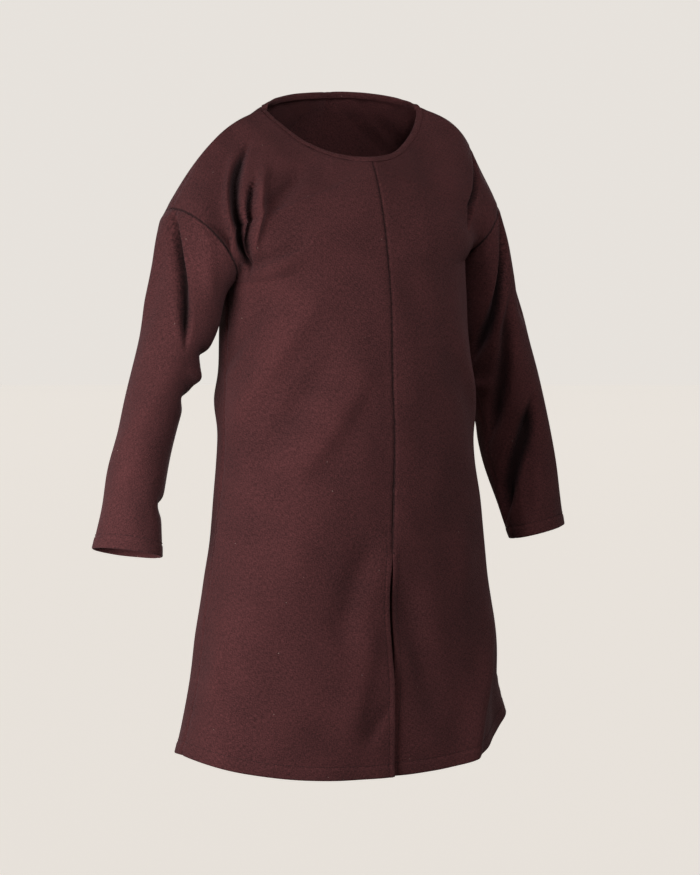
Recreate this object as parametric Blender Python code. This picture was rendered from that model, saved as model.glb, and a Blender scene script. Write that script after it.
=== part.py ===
"""A pull-over medieval tunic of fulled wool, hollow and open as it stands on a wearer.

Metres, +Z up. The front faces -Y and the wearer's left is +X. The origin lies midway between the
two points where the shoulder seams meet the neck, the height at which the shoulders carry the cloth.
"""

import bpy
import numpy as np

# Cloth and seams
CLOTH = 0.002
SEAM_GAP = 0.0004
HEM_DEPTH = 0.018
HEM_CLOTH = 0.0036
HEM_STEP = 0.003
SEAM_CALM = 0.15

# Armhole: a loop from the armpit over the dropped shoulder, in a slanting plane. The tunic hangs a little
# askew, so the loop slides up the left arm (1) and down the right one (-1).
ARMPIT = np.array([0.188, 0.0, -0.240])
SHOULDER_END = np.array([0.263, 0.010, -0.142])
ARMHOLE_SLIDE = {1: -0.022, -1: 0.018}
SLIDE_WAY = np.array([0.60, 0.0, -0.70])
ARMHOLE_HALF_DEPTH = 0.074
ARMHOLE_BLEND = 0.06
ARMHOLE_CALM = 0.03
SLEEVE_RADIUS = 0.0555

# Hem: it dips at the middle of the front and the back
HEM_SIDE_HEIGHT = -0.917
HEM_SIDE_TILT = 0.012
HEM_FRONT_HEIGHT = -0.965
HEM_BACK_HEIGHT = -0.958
HEM_ROUNDNESS = 1.6

# Slit below the centre seam: its left edge lies deeper and laps under the right one towards the hem
SLIT_TOP = -0.640
SLIT_GAP = 0.006
SLIT_RECESS = 0.010
SLIT_REACH = 0.035
SLIT_QUICK = 5
SLIT_LAP = 0.008
SLIT_LAP_START = 0.375

# Binding round the neck
BINDING_WIDTH = 0.0065
BINDING_DEPTH = 0.0050

# Body sections: height, half width, depth to the front, depth to the back, sway to the wearer's left
SECTION_POWER = 2.25
BODY_SECTIONS = np.array([
    (-0.965, 0.287, 0.134, 0.128, 0.011),
    (-0.840, 0.256, 0.130, 0.122, 0.013),
    (-0.720, 0.232, 0.127, 0.115, 0.007),
    (-0.620, 0.218, 0.130, 0.106, 0.007),
    (-0.510, 0.201, 0.141, 0.100, 0.004),
    (-0.420, 0.195, 0.143, 0.105, 0.000),
    (-0.320, 0.191, 0.139, 0.114, 0.000),
    (-0.240, 0.188, 0.131, 0.118, 0.000),
])

# Neck from the middle of the front over the left shoulder to the middle of the back: x, y, z. It tilts up
# towards the wearer's left, by this rise for each metre across.
NECK_TILT = 0.054
NECK_POINTS = np.array([
    (0.000, -0.083, -0.083),
    (0.046, -0.072, -0.076),
    (0.085, -0.047, -0.056),
    (0.113, -0.025, -0.032),
    (0.131, 0.000, -0.004),
    (0.111, 0.020, 0.007),
    (0.071, 0.040, 0.0155),
    (0.036, 0.048, 0.0185),
    (0.000, 0.051, 0.0190),
])
SHOULDER_STATION = 4

# Sleeve sections below the armhole: centre x, y, z, half size outwards, half size forwards, skew of the
# oval, lean of the outer edge in degrees, rise of the front edge in degrees
SLEEVE_SECTIONS = np.array([
    (0.244, 0.006, -0.245, 0.053, 0.067, -0.003, 34.0, 0.0),
    (0.259, 0.008, -0.311, 0.052, 0.060, 0.001, 20.0, 0.0),
    (0.280, 0.012, -0.375, 0.048, 0.056, 0.005, 14.0, 0.0),
    (0.301, 0.016, -0.440, 0.046, 0.053, 0.008, 12.0, 0.0),
    (0.323, 0.017, -0.525, 0.046, 0.052, 0.008, 12.0, 3.0),
    (0.337, 0.009, -0.585, 0.044, 0.048, 0.003, 12.0, 5.5),
    (0.348, 0.001, -0.637, 0.046, 0.046, -0.004, 12.0, 7.5),
])

# How a panel's rows leave the middle line or neck, and how they run out into the sleeve: directions, then
# pulls at the armpit, at the middle of the armhole and at the shoulder, as shares of the row's span
NECK_DIP = 38.0
SHOULDER_START_WAY = np.array([0.90, -0.35, -0.20])
BACK_START_WAY = np.array([0.76, 0.10, -0.70])
SHOULDER_END_WAY = np.array([0.35, 0.30, -0.94])
FRONT_END_WAY = np.array([0.62, 0.0, -0.78])
START_PULLS = (1.38, 1.20, 1.15)
END_PULLS = (0.92, 0.90, 1.50)
CHEST_LEAN = 0.35
ARMPIT_EASE = 0.45

# Folds of the front (-1) and the back (1): face, start across and height, end across and height, bow, width
# towards the wearer's left, width towards the right, lift. Across is measured on the cloth from the middle.
PANEL_FOLDS = np.array([
    (-1, -0.240, -0.300, -0.208, -0.085, 0.000, 0.010, 0.015, -0.011),
    (-1, -0.185, -0.155, -0.128, -0.105, 0.000, 0.013, 0.012, -0.004),
    (-1, -0.245, -0.248, -0.145, -0.208, 0.004, 0.011, 0.013, -0.006),
    (-1, -0.285, -0.500, -0.088, -0.248, 0.006, 0.022, 0.030, 0.007),
    (-1, -0.240, -0.550, -0.068, -0.323, 0.006, 0.020, 0.022, -0.005),
    (-1, -0.170, -0.550, -0.030, -0.365, 0.006, 0.020, 0.028, 0.006),
    (-1, -0.095, -0.800, -0.035, -0.620, 0.000, 0.020, 0.026, -0.008),
    (-1, -0.085, -0.920, -0.040, -0.730, 0.000, 0.018, 0.022, 0.006),
    (-1, 0.196, -0.270, 0.229, -0.050, 0.000, 0.013, 0.010, -0.010),
    (-1, 0.120, -1.090, 0.240, -0.750, -0.014, 0.024, 0.034, 0.009),
    (-1, 0.235, -1.250, 0.280, -0.750, 0.000, 0.070, 0.075, -0.023),
    (-1, 0.085, -0.880, 0.010, -0.680, 0.000, 0.026, 0.024, -0.006),
    (-1, 0.270, -0.520, 0.100, -0.280, -0.006, 0.030, 0.022, 0.005),
    (1, -0.222, -0.300, -0.200, -0.090, 0.000, 0.012, 0.014, -0.008),
    (1, 0.228, -0.310, 0.206, -0.080, 0.000, 0.014, 0.012, -0.009),
    (1, -0.130, -1.080, -0.070, -0.480, 0.006, 0.034, 0.028, 0.010),
    (1, -0.040, -1.060, -0.015, -0.560, 0.000, 0.026, 0.028, -0.008),
    (1, 0.060, -1.080, 0.030, -0.440, 0.004, 0.028, 0.034, 0.009),
    (1, 0.150, -1.060, 0.085, -0.520, 0.000, 0.028, 0.024, -0.008),
    (1, 0.225, -0.520, 0.030, -0.330, 0.008, 0.024, 0.026, 0.006),
    (1, -0.240, -0.470, -0.060, -0.300, 0.006, 0.024, 0.026, 0.006),
])

# Folds of the left (1) and the right (-1) sleeve: side, start turn in degrees and length, end turn and
# length, bow, width towards higher turns and towards lower turns, lift. Turn 0 is outside, 90 front. Lengths
# start where the armhole would be if it had not slid.
SLEEVE_FOLDS = np.array([
    (-1, 0.0, -0.020, 74.0, 0.140, 0.004, 0.011, 0.013, -0.009),
    (-1, -4.0, 0.000, -14.0, 0.170, 0.000, 0.013, 0.016, 0.004),
    (-1, 105.0, 0.165, 250.0, 0.180, 0.000, 0.012, 0.013, -0.006),
    (-1, 100.0, 0.195, 255.0, 0.212, 0.000, 0.013, 0.012, 0.006),
    (-1, 110.0, 0.232, 240.0, 0.245, 0.000, 0.013, 0.014, -0.006),
    (-1, 115.0, 0.390, 235.0, 0.400, 0.000, 0.012, 0.014, -0.006),
    (-1, 310.0, -0.010, 245.0, 0.150, 0.004, 0.013, 0.012, -0.007),
    (-1, 215.0, 0.270, 325.0, 0.240, 0.000, 0.015, 0.013, -0.005),
    (1, 78.0, -0.030, 168.0, 0.175, 0.004, 0.013, 0.012, -0.010),
    (1, 108.0, 0.180, 148.0, 0.270, 0.000, 0.012, 0.013, -0.006),
    (1, 92.0, 0.250, 200.0, 0.440, 0.004, 0.013, 0.015, -0.010),
    (1, 10.0, -0.010, 58.0, 0.150, 0.000, 0.013, 0.012, -0.006),
    (1, 130.0, 0.215, 262.0, 0.225, 0.000, 0.013, 0.014, 0.005),
    (1, 300.0, -0.010, 250.0, 0.160, 0.000, 0.012, 0.013, -0.006),
    (1, 205.0, 0.290, 320.0, 0.250, 0.000, 0.014, 0.013, -0.005),
])

# Mesh divisions
LOWER_ROWS = 16
NECK_ROWS = 7
UPPER_ROWS = 2 * NECK_ROWS
NECK_FOOT = LOWER_ROWS + NECK_ROWS
HALF_COLUMNS = 12
SLEEVE_ROWS = 16
BINDING_SIDES = 8

WOOL = (0.052, 0.022, 0.022, 1.0)
WOOL_ROUGHNESS = 0.9


def smooth(at, knots, values):
    """Cubic through the knots, with slopes from each knot's neighbours."""
    slopes = np.gradient(values, knots, axis=0)
    i = np.clip(np.searchsorted(knots, at) - 1, 0, len(knots) - 2)
    step = knots[i + 1] - knots[i]
    t = np.clip((at - knots[i]) / step, 0.0, 1.0)
    start = (2 * t**3 - 3 * t**2 + 1) * values[i] + (t**3 - 2 * t**2 + t) * step * slopes[i]
    return start + (3 * t**2 - 2 * t**3) * values[i + 1] + (t**3 - t**2) * step * slopes[i + 1]


def ease(t):
    """Smooth step from 0 to 1."""
    t = np.clip(t, 0.0, 1.0)
    return t * t * (3 - 2 * t)


def unit(vectors):
    return vectors / np.linalg.norm(vectors, axis=-1, keepdims=True)


def stack(x, y, z):
    return np.stack(np.broadcast_arrays(x, y, z), axis=-1).astype(float)


def neck_curve(station, side):
    """One half of the neck as a smooth curve over its stations, drawn on the left and tilted for its side."""
    mirror = np.array([-1.0, 1.0, 1.0])
    points = np.vstack([NECK_POINTS[1:2] * mirror, NECK_POINTS, NECK_POINTS[-2:-1] * mirror])
    points[:, 2] += side * NECK_TILT * points[:, 0]
    knots = np.arange(-1.0, len(NECK_POINTS) + 1)
    return stack(*(smooth(station, knots, points[:, k]) for k in range(3)))


def body_section(turn, height, face):
    """A superellipse section: turn 0 is the middle of the face, 90 degrees the side seam."""
    knots = BODY_SECTIONS[:, 0]
    half_width, front, back, sway = (smooth(height, knots, BODY_SECTIONS[:, k]) for k in range(1, 5))
    power = 2 / SECTION_POWER
    depth = front if face < 0 else back
    across, outwards = np.sin(turn) ** power, np.abs(np.cos(turn)) ** power
    return stack(half_width * across, face * depth * outwards, height), sway


def armpit_row(turn, side):
    """Heights of the row that passes the armpits: level at the middle, slid with the armhole at the side."""
    return ARMPIT[2] - ARMHOLE_SLIDE[side] * np.sin(turn) ** 2


def lower_rows(face, side):
    """Half a panel from the hem to the armpit's height: rows upwards, columns from middle to side seam."""
    turn = np.linspace(0, np.pi / 2, HALF_COLUMNS + 1)[None, :]
    middle = HEM_FRONT_HEIGHT if face < 0 else HEM_BACK_HEIGHT
    edge = HEM_SIDE_HEIGHT + side * HEM_SIDE_TILT
    hem = edge + (middle - edge) * np.cos(turn) ** HEM_ROUNDNESS
    drop = ARMPIT[2] - HEM_SIDE_HEIGHT
    first = np.array([0.0, HEM_DEPTH, HEM_DEPTH + HEM_STEP]) / drop
    rise = np.concatenate([first, np.linspace(first[-1], 1.0, LOWER_ROWS - 1)[1:]])[:, None]
    height = hem + rise * (armpit_row(turn, side) - hem)
    points, sway = body_section(np.broadcast_to(turn, height.shape), height, face)
    points[..., 0] += side * sway
    return points


def armhole_ends(side):
    """The armpit, which lies on the side seam, and the shoulder's end, both slid along the arm."""
    slide = ARMHOLE_SLIDE[side]
    armpit = body_section(np.full(1, np.pi / 2), np.full(1, ARMPIT[2] - slide), 1)[0][0]
    return armpit, SHOULDER_END + slide * SLIDE_WAY


def armhole_loop(turn, side):
    """The armhole: turn 0 is the shoulder's end, 90 degrees the front, 180 the armpit."""
    armpit, shoulder_end = armhole_ends(side)
    middle = (shoulder_end + armpit) / 2
    up = (shoulder_end - armpit) / 2
    forward = np.array([0.0, -ARMHOLE_HALF_DEPTH, 0.0])
    return middle + np.cos(turn)[..., None] * up + np.sin(turn)[..., None] * forward


def upper_rows(face, side):
    """Half a panel from the armpit's height to the shoulder seam, rows upwards.

    Each row is a cubic from a point of the middle line or the neck to a point of the armhole, and the
    lowest rows ease into the body section at the armpit.
    """
    share = np.linspace(0, 1, UPPER_ROWS + 1)
    on_neck = (share >= 0.5)[:, None]
    below = np.clip(share / 0.5, 0, 1)
    round_neck = np.clip(share / 0.5 - 1, 0, 1)
    outer = armhole_loop(-face * np.pi * (1 - share), side)

    last = len(NECK_POINTS) - 1
    station = round_neck * SHOULDER_STATION if face < 0 else last - round_neck * (last - SHOULDER_STATION)
    neck = neck_curve(station, side)
    foot = body_section(np.zeros(1), np.full(1, ARMPIT[2]), face)[0][0]
    middle = foot + (neck[0] - foot) * stack(below, CHEST_LEAN * below + (1 - CHEST_LEAN) * below**2, below)
    inner = np.where(on_neck, neck, middle)

    up = unit(neck[0] - foot)
    along = unit(neck_curve(station + 0.01, side) - neck_curve(station - 0.01, side)) * -face
    turn = (np.pi / 2 * round_neck)[:, None]
    out = SHOULDER_START_WAY if face < 0 else BACK_START_WAY
    out = unit(out + (SHOULDER_START_WAY - out) * (round_neck**4)[:, None])
    away = unit(np.cos(turn) * -up + np.sin(turn) * out)
    dip = np.where(share < 0.5, NECK_DIP * below**2, NECK_DIP + (90 - NECK_DIP) * round_neck)
    dip = np.radians(dip)[:, None]
    start_way = np.where(on_neck,
                         np.cos(dip) * along + np.sin(dip) * away,
                         np.cos(dip) * np.array([1.0, 0.0, 0.0]) - np.sin(dip) * up)
    over = ease((1 - share) / 0.5)[:, None]
    under = ease((0.5 - share) / 0.5)[:, None]
    armpit_way = np.array([0.0, -face, 0.0])
    top_way = SHOULDER_END_WAY + (FRONT_END_WAY - SHOULDER_END_WAY) * over
    end_way = unit(np.where(on_neck, top_way, FRONT_END_WAY + (armpit_way - FRONT_END_WAY) * under))
    span = np.linalg.norm(outer - inner, axis=1, keepdims=True)
    start_way = start_way * span * np.interp(share, [0.0, 0.5, 1.0], START_PULLS)[:, None]
    end_way = end_way * span * np.interp(share, [0.0, 0.5, 1.0], END_PULLS)[:, None]

    t = np.linspace(0, 1, HALF_COLUMNS + 1)[None, :, None]
    rows = (2 * t**3 - 3 * t**2 + 1) * inner[:, None] + (t**3 - 2 * t**2 + t) * start_way[:, None]
    rows = rows + (3 * t**2 - 2 * t**3) * outer[:, None] + (t**3 - t**2) * end_way[:, None]
    turn = np.linspace(0, np.pi / 2, HALF_COLUMNS + 1)
    section = body_section(turn, armpit_row(turn, side), face)[0]
    return rows + (section - rows[0]) * (1 - ease(share / ARMPIT_EASE))[:, None, None]


def fold_lift(across, along, folds):
    """Height of the folds at a place on the flat cloth.

    Each fold runs along a chord bent sideways by its bow. Its lift falls off as a bell on either side,
    each with its own width, and fades out over the first and the last third of the chord.
    """
    lift = np.zeros(np.broadcast(across, along).shape)
    for start_a, start_b, end_a, end_b, bow, high_width, low_width, height in folds:
        run_a, run_b = end_a - start_a, end_b - start_b
        length = np.hypot(run_a, run_b)
        t = ((across - start_a) * run_a + (along - start_b) * run_b) / length**2
        aside = ((across - start_a) * run_b - (along - start_b) * run_a) / length
        aside = aside - bow * 4 * t * (1 - t)
        width = np.where(aside > 0, high_width, low_width)
        lift += height * np.exp(-((aside / width) ** 2)) * ease(3 * t) * ease(3 * (1 - t))
    return lift


def normals_of(grid, sign, closed=False):
    """Unit normals of a grid by central differences, carried round the columns where it is closed."""
    if closed:
        around = np.roll(grid, -1, axis=1) - np.roll(grid, 1, axis=1)
    else:
        around = np.gradient(grid, axis=1)
    return unit(np.cross(around, np.gradient(grid, axis=0)) * sign)


def body_half(face, side):
    """One half of the front or back, hem to shoulder, with its folds, mirrored to its side."""
    rows = np.concatenate([lower_rows(face, side), upper_rows(face, side)[1:]]) * np.array([side, 1.0, 1.0])
    steps = np.linalg.norm(np.diff(rows, axis=1), axis=-1)
    across = np.hstack([np.zeros((len(rows), 1)), np.cumsum(steps, axis=1)]) + np.abs(rows[:, :1, 0])
    lift = fold_lift(side * across, rows[..., 2], [fold[1:] for fold in PANEL_FOLDS if fold[0] == face])
    lift *= ease(np.linspace(1, 0, HALF_COLUMNS + 1) / SEAM_CALM)
    lift *= ease(np.arange(len(rows))[::-1] / UPPER_ROWS / SEAM_CALM)[:, None]
    rows = rows + normals_of(rows, -face * side) * lift[..., None]
    if face < 0:
        depth = np.clip((SLIT_TOP - rows[..., 2]) / (SLIT_TOP - HEM_FRONT_HEIGHT), 0, 1)
        near = np.exp(-across / SLIT_REACH)
        lap = SLIT_LAP * ease((depth - SLIT_LAP_START) / (1 - SLIT_LAP_START)) * (side > 0)
        rows[..., 0] += (side * SLIT_GAP / 2 * ease(depth * SLIT_QUICK) - lap) * near
        rows[..., 1] += SLIT_RECESS * ease(depth) * near * (side > 0)
    return rows


def sleeve_rings(side):
    """The sleeve from the armhole to the cuff: rows downwards, columns round from the top to the front."""
    turns = np.linspace(0, 2 * np.pi, 2 * UPPER_ROWS, endpoint=False)
    armpit, shoulder_end = armhole_ends(side)
    half = (shoulder_end - armpit) / 2
    lean = np.degrees(np.arctan2(half[2], half[0]))
    armhole = [*(shoulder_end + armpit) / 2, np.linalg.norm(half), ARMHOLE_HALF_DEPTH, 0.0, lean, 0.0]
    table = np.vstack([armhole, SLEEVE_SECTIONS])
    knots = np.concatenate([[0], np.cumsum(np.linalg.norm(np.diff(table[:, :3], axis=0), axis=1))])
    hem = knots[-1] - HEM_DEPTH
    at = np.concatenate([np.linspace(0, hem - HEM_STEP, SLEEVE_ROWS - 1), [hem, knots[-1]]])
    x, y, z, out, forward, skew, lean, rise = (smooth(at, knots, table[:, k])[:, None] for k in range(8))
    lean, rise = np.radians(lean), np.radians(rise)
    outwards = out * np.cos(turns) + skew * np.sin(turns)
    forwards = skew * np.cos(turns) + forward * np.sin(turns)
    rings = stack(
        x + outwards * np.cos(lean),
        y - forwards * np.cos(rise),
        z + outwards * np.sin(lean) + forwards * np.sin(rise),
    )
    rings += (armhole_loop(turns, side) - rings[0]) * (1 - ease(at / ARMHOLE_BLEND))[:, None, None]
    rings *= np.array([side, 1.0, 1.0])
    chosen = [fold[1:] for fold in SLEEVE_FOLDS if fold[0] == side]
    per_degree = np.radians(SLEEVE_RADIUS)
    chosen = [(fold[0] * per_degree, fold[1], fold[2] * per_degree, *fold[3:]) for fold in chosen]
    lift = np.zeros(rings.shape[:2])
    from_even = at[:, None] + ARMHOLE_SLIDE[side]
    for lap in (-360, 0, 360):
        lift += fold_lift((np.degrees(turns) + lap)[None, :] * per_degree, from_even, chosen)
    lift *= ease(at / ARMHOLE_CALM)[:, None]
    return rings + normals_of(rings, side, True) * lift[..., None]


def join(first, second, may_part=False):
    """Common normals along a seam, kept apart where the two pieces may fold back on each other."""
    together = np.ones(1)
    if may_part:
        together = ease(((first * second).sum(-1, keepdims=True) - 0.1) / 0.6)
    return unit(first + second * together), unit(second + first * together)


def join_seams(normals):
    """Common normals along the side, shoulder, armhole and middle seams, so that walls meet edge to edge."""
    turns = np.arange(UPPER_ROWS + 1)
    backwards = (-turns) % (2 * UPPER_ROWS)
    for side in (1, -1):
        front, back, sleeve = normals["front", side], normals["back", side], normals["sleeve", side]
        below = slice(0, LOWER_ROWS + 1)
        front[below, -1], back[below, -1] = join(front[below, -1], back[below, -1])
        front[-1], back[-1] = join(front[-1], back[-1])
        front_edge, front_sleeve = join(front[-1 - turns, -1], sleeve[0, turns], True)
        back_edge, back_sleeve = join(back[-1 - turns, -1], sleeve[0, backwards], True)
        front[-1 - turns, -1], back[-1 - turns, -1] = front_edge, back_edge
        sleeve[0, turns], sleeve[0, backwards] = front_sleeve, back_sleeve
        front[-1, -1] = back[-1, -1] = sleeve[0, 0]
    for piece in ("front", "back"):
        left, right = normals[piece, 1], normals[piece, -1]
        left[:, 0], right[:, 0] = join(left[:, 0], right[:, 0])


def inner_wall(key, grid, normals):
    """The grid moved in by the cloth, which is doubled where a hem is turned up."""
    thickness = np.full(grid.shape[:2], CLOTH)
    thickness[-2:] = HEM_CLOTH if key[0] == "sleeve" else CLOTH
    thickness[:2] = CLOTH if key[0] == "sleeve" else HEM_CLOTH
    return grid - normals * thickness[..., None]


def pull_in(grid, line, inside):
    """Half a seam gap between a border of a grid and the seam's line."""
    seam = unit(np.gradient(grid[line], axis=0))
    way = grid[inside] - grid[line]
    grid[line] += unit(way - seam * (way * seam).sum(-1, keepdims=True)) * SEAM_GAP / 2


def trim(key, grid):
    """Every sewn border of a piece drawn back from its seam."""
    if key[0] == "sleeve":
        pull_in(grid, 0, 1)
        return
    pull_in(grid, np.s_[:, -1], np.s_[:, -2])
    pull_in(grid, np.s_[-1], np.s_[-2])
    if key[0] == "front":
        pull_in(grid, np.s_[:, 0], np.s_[:, 1])


def quads(index):
    """Faces of a grid of point numbers."""
    corners = [index[:-1, :-1], index[:-1, 1:], index[1:, 1:], index[1:, :-1]]
    return np.stack(corners, axis=-1).reshape(-1, 4)


def add_mesh(name, points, faces, collection):
    """An object of its own wool material, with its faces turned outwards."""
    corner = points[faces]
    normal = np.cross(corner[:, 2] - corner[:, 0], corner[:, 3] - corner[:, 1])
    if (corner.mean(axis=1) * normal).sum() < 0:
        faces = faces[:, ::-1]
    mesh = bpy.data.meshes.new(name)
    mesh.from_pydata(points.tolist(), [], faces.tolist())
    mesh.update()
    mesh.shade_smooth()
    material = bpy.data.materials.new(f"{name}_wool")
    material.use_nodes = True
    shader = material.node_tree.nodes["Principled BSDF"]
    shader.inputs["Base Color"].default_value = WOOL
    shader.inputs["Roughness"].default_value = WOOL_ROUGHNESS
    mesh.materials.append(material)
    collection.objects.link(bpy.data.objects.new(name, mesh))


def wall(name, outer, inner, faces, collection):
    """A closed wall: the outer faces, the same faces on the inner points, and a rim along every border."""
    outer, inner = outer.reshape(-1, 3), inner.reshape(-1, 3)
    size = len(outer)
    edges = np.stack([faces, np.roll(faces, -1, axis=1)], axis=-1).reshape(-1, 2)
    border = edges[~np.isin(edges[:, 0] * size + edges[:, 1], edges[:, 1] * size + edges[:, 0])]
    rim = np.stack([border[:, 1], border[:, 0], border[:, 0] + size, border[:, 1] + size], axis=-1)
    faces = np.concatenate([faces, faces[:, ::-1] + size, rim])
    add_mesh(name, np.concatenate([outer, inner]), faces, collection)


def add_fronts_and_sleeves(grids, inside, collection):
    """Two fronts that meet at the middle, and two sleeves closed into tubes."""
    index = np.arange(grids["front", 1][..., 0].size).reshape(grids["front", 1].shape[:2])
    rings = np.arange(grids["sleeve", 1][..., 0].size).reshape(grids["sleeve", 1].shape[:2])
    rings = np.hstack([rings, rings[:, :1]])
    for side, word in ((1, "left"), (-1, "right")):
        for piece, numbers in (("front", index), ("sleeve", rings)):
            faces = quads(numbers)[:, ::side]
            wall(f"{piece}_{word}", grids[piece, side], inside[piece, side], faces, collection)


def add_back(grids, inside, collection):
    """One back: its halves share their middle line up to the neck and part round the neck."""
    left = np.arange(grids["back", 1][..., 0].size).reshape(grids["back", 1].shape[:2])
    right = left + left.size
    right[:NECK_FOOT + 1, 0] = left[:NECK_FOOT + 1, 0]
    faces = np.concatenate([quads(left)[:, ::-1], quads(right)])
    used, faces = np.unique(faces, return_inverse=True)
    outer, inner = (np.concatenate([half["back", 1], half["back", -1]]).reshape(-1, 3)[used]
                    for half in (grids, inside))
    wall("back", outer, inner, faces.reshape(-1, 4), collection)


def add_binding(grids, normals, collection):
    """A rounded rim of folded cloth round the neck, along the edge of the panels and just clear of them."""
    def round_neck(pieces):
        order = (("front", 1), ("back", 1), ("back", -1), ("front", -1))
        edges = [pieces[key][NECK_FOOT:, 0] for key in order]
        return np.vstack([edges[0], edges[1][-2::-1], edges[2][1:], edges[3][-2:0:-1]])

    path, facing = round_neck(grids), round_neck(normals)
    along = unit(np.roll(path, -1, axis=0) - np.roll(path, 1, axis=0))
    inwards = unit(np.cross(facing, along))
    centre = path + inwards * (BINDING_WIDTH / 2 + SEAM_GAP) - facing * CLOTH / 2
    turns = np.linspace(0, 2 * np.pi, BINDING_SIDES, endpoint=False)[None, :, None]
    ring = centre[:, None] + inwards[:, None] * np.cos(turns) * BINDING_WIDTH / 2
    ring = ring + facing[:, None] * np.sin(turns) * BINDING_DEPTH / 2
    index = np.arange(ring[..., 0].size).reshape(ring.shape[:2])
    index = np.pad(index, ((0, 1), (0, 1)), mode="wrap")
    add_mesh("neck_binding", ring.reshape(-1, 3), quads(index), collection)


def main():
    for thing in list(bpy.data.objects):
        bpy.data.objects.remove(thing)
    collection = bpy.data.collections.new("medieval_tunic")
    bpy.context.scene.collection.children.link(collection)
    grids, normals = {}, {}
    for side in (1, -1):
        for piece, face in (("front", -1), ("back", 1)):
            grids[piece, side] = body_half(face, side)
            normals[piece, side] = normals_of(grids[piece, side], -face * side)
        grids["sleeve", side] = sleeve_rings(side)
        normals["sleeve", side] = normals_of(grids["sleeve", side], side, True)
    join_seams(normals)
    add_binding(grids, normals, collection)
    inside = {key: inner_wall(key, grid, normals[key]) for key, grid in grids.items()}
    for key in grids:
        trim(key, grids[key])
        trim(key, inside[key])
    add_fronts_and_sleeves(grids, inside, collection)
    add_back(grids, inside, collection)


main()
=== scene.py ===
# %% [markdown]
# # A medieval wool tunic
# The tunic is a pull-over of thick fulled wool. A maker cuts two fronts, one back and two sleeves, sews the
# fronts together down the middle but leaves a slit below, turns up the hem and the cuffs, and binds the neck.
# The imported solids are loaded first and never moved. Each piece below stands where its own solid stands, in
# metres, with +Z up, the front towards -Y and the wearer's left at +X.

import bpy
import numpy as np
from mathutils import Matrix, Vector


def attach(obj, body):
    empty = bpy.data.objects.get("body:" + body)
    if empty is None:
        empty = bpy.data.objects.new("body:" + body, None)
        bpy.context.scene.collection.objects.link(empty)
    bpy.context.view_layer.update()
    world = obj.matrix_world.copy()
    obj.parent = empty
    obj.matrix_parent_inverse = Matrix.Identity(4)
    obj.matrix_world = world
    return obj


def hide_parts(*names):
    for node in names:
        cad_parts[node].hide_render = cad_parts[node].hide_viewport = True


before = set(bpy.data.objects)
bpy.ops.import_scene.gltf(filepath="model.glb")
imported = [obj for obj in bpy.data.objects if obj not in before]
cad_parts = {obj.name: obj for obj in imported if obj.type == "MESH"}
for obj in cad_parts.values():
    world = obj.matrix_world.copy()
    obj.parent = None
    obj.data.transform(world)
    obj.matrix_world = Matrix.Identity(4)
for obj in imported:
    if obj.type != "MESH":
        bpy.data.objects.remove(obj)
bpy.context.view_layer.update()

print("solids:", ", ".join(sorted(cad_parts)))

# %% [markdown]
# ## Tools for smooth shapes
# A garment is measured at a few heights and drawn smoothly between them. A cubic through the measured values
# does that here: it passes through every one of them and, unlike a polygon, leaves no corner there.

# %% Smooth steps and curves
def ease(t):
    """Smooth step: 3t^2 - 2t^3, from 0 to 1."""
    t = np.clip(t, 0.0, 1.0)
    return t * t * (3 - 2 * t)


def bell(distance, width):
    """Bell curve: 1 at no distance, exp(-1) at one width."""
    return np.exp(-((distance / width) ** 2))


def unit(vectors):
    """Each vector divided by its length."""
    return vectors / np.linalg.norm(vectors, axis=-1, keepdims=True)


def stack(x, y, z):
    """Points from their three coordinates, spread to one shape."""
    return np.stack(np.broadcast_arrays(x, y, z), axis=-1).astype(float)


def smooth(at, knots, values):
    """Cubic between neighbouring knots, with each knot's slope taken from the knots on both sides of it."""
    slopes = np.gradient(values, knots, axis=0)
    i = np.clip(np.searchsorted(knots, at) - 1, 0, len(knots) - 2)
    step = knots[i + 1] - knots[i]
    t = np.clip((at - knots[i]) / step, 0.0, 1.0)
    start = (2 * t**3 - 3 * t**2 + 1) * values[i] + (t**3 - 2 * t**2 + t) * step * slopes[i]
    return start + (3 * t**2 - 2 * t**3) * values[i + 1] + (t**3 - t**2) * step * slopes[i + 1]


def run_along(points, axis):
    """Length run along an axis of a grid, from its first line on."""
    steps = np.linalg.norm(np.diff(points, axis=axis), axis=-1)
    return np.insert(np.cumsum(steps, axis=axis), 0, 0.0, axis=axis)


# %% [markdown]
# ## The body's form
# Below the armpits the body is a tube: a squarish oval at each height, flared towards the hem. One could
# lathe or loft it, but a formula also gives every point its place on the flat cloth, and folds, weave and
# stitches need that. Each half panel is a grid with rows from hem to shoulder and columns from the middle
# to the side.

# %% Sizes of the body
SECTION_POWER = 2.25
# Height, half width, depth to the front, depth to the back, sway to the wearer's left
BODY_SECTIONS = np.array([
    (-0.965, 0.287, 0.134, 0.128, 0.011),
    (-0.840, 0.256, 0.130, 0.122, 0.013),
    (-0.720, 0.232, 0.127, 0.115, 0.007),
    (-0.620, 0.218, 0.130, 0.106, 0.007),
    (-0.510, 0.201, 0.141, 0.100, 0.004),
    (-0.420, 0.195, 0.143, 0.105, 0.000),
    (-0.320, 0.191, 0.139, 0.114, 0.000),
    (-0.240, 0.188, 0.131, 0.118, 0.000),
])
ARMPIT = np.array([0.188, 0.0, -0.240])
# The tunic hangs a little askew: its armholes slide up the left arm (1) and down the right one (-1).
ARMHOLE_SLIDE = {1: -0.022, -1: 0.018}
HEM_SIDE_HEIGHT = -0.917
HEM_SIDE_TILT = 0.012
HEM_FRONT_HEIGHT = -0.965
HEM_BACK_HEIGHT = -0.958
HEM_ROUNDNESS = 1.6
HEM_DEPTH = 0.018

# %% Rows and columns of a half panel
HEM_BAND = 0.026
HEM_ROWS = 16
SKIRT_ROWS = 150
CHEST_ROWS = 40
NECK_ROWS = 44
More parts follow.
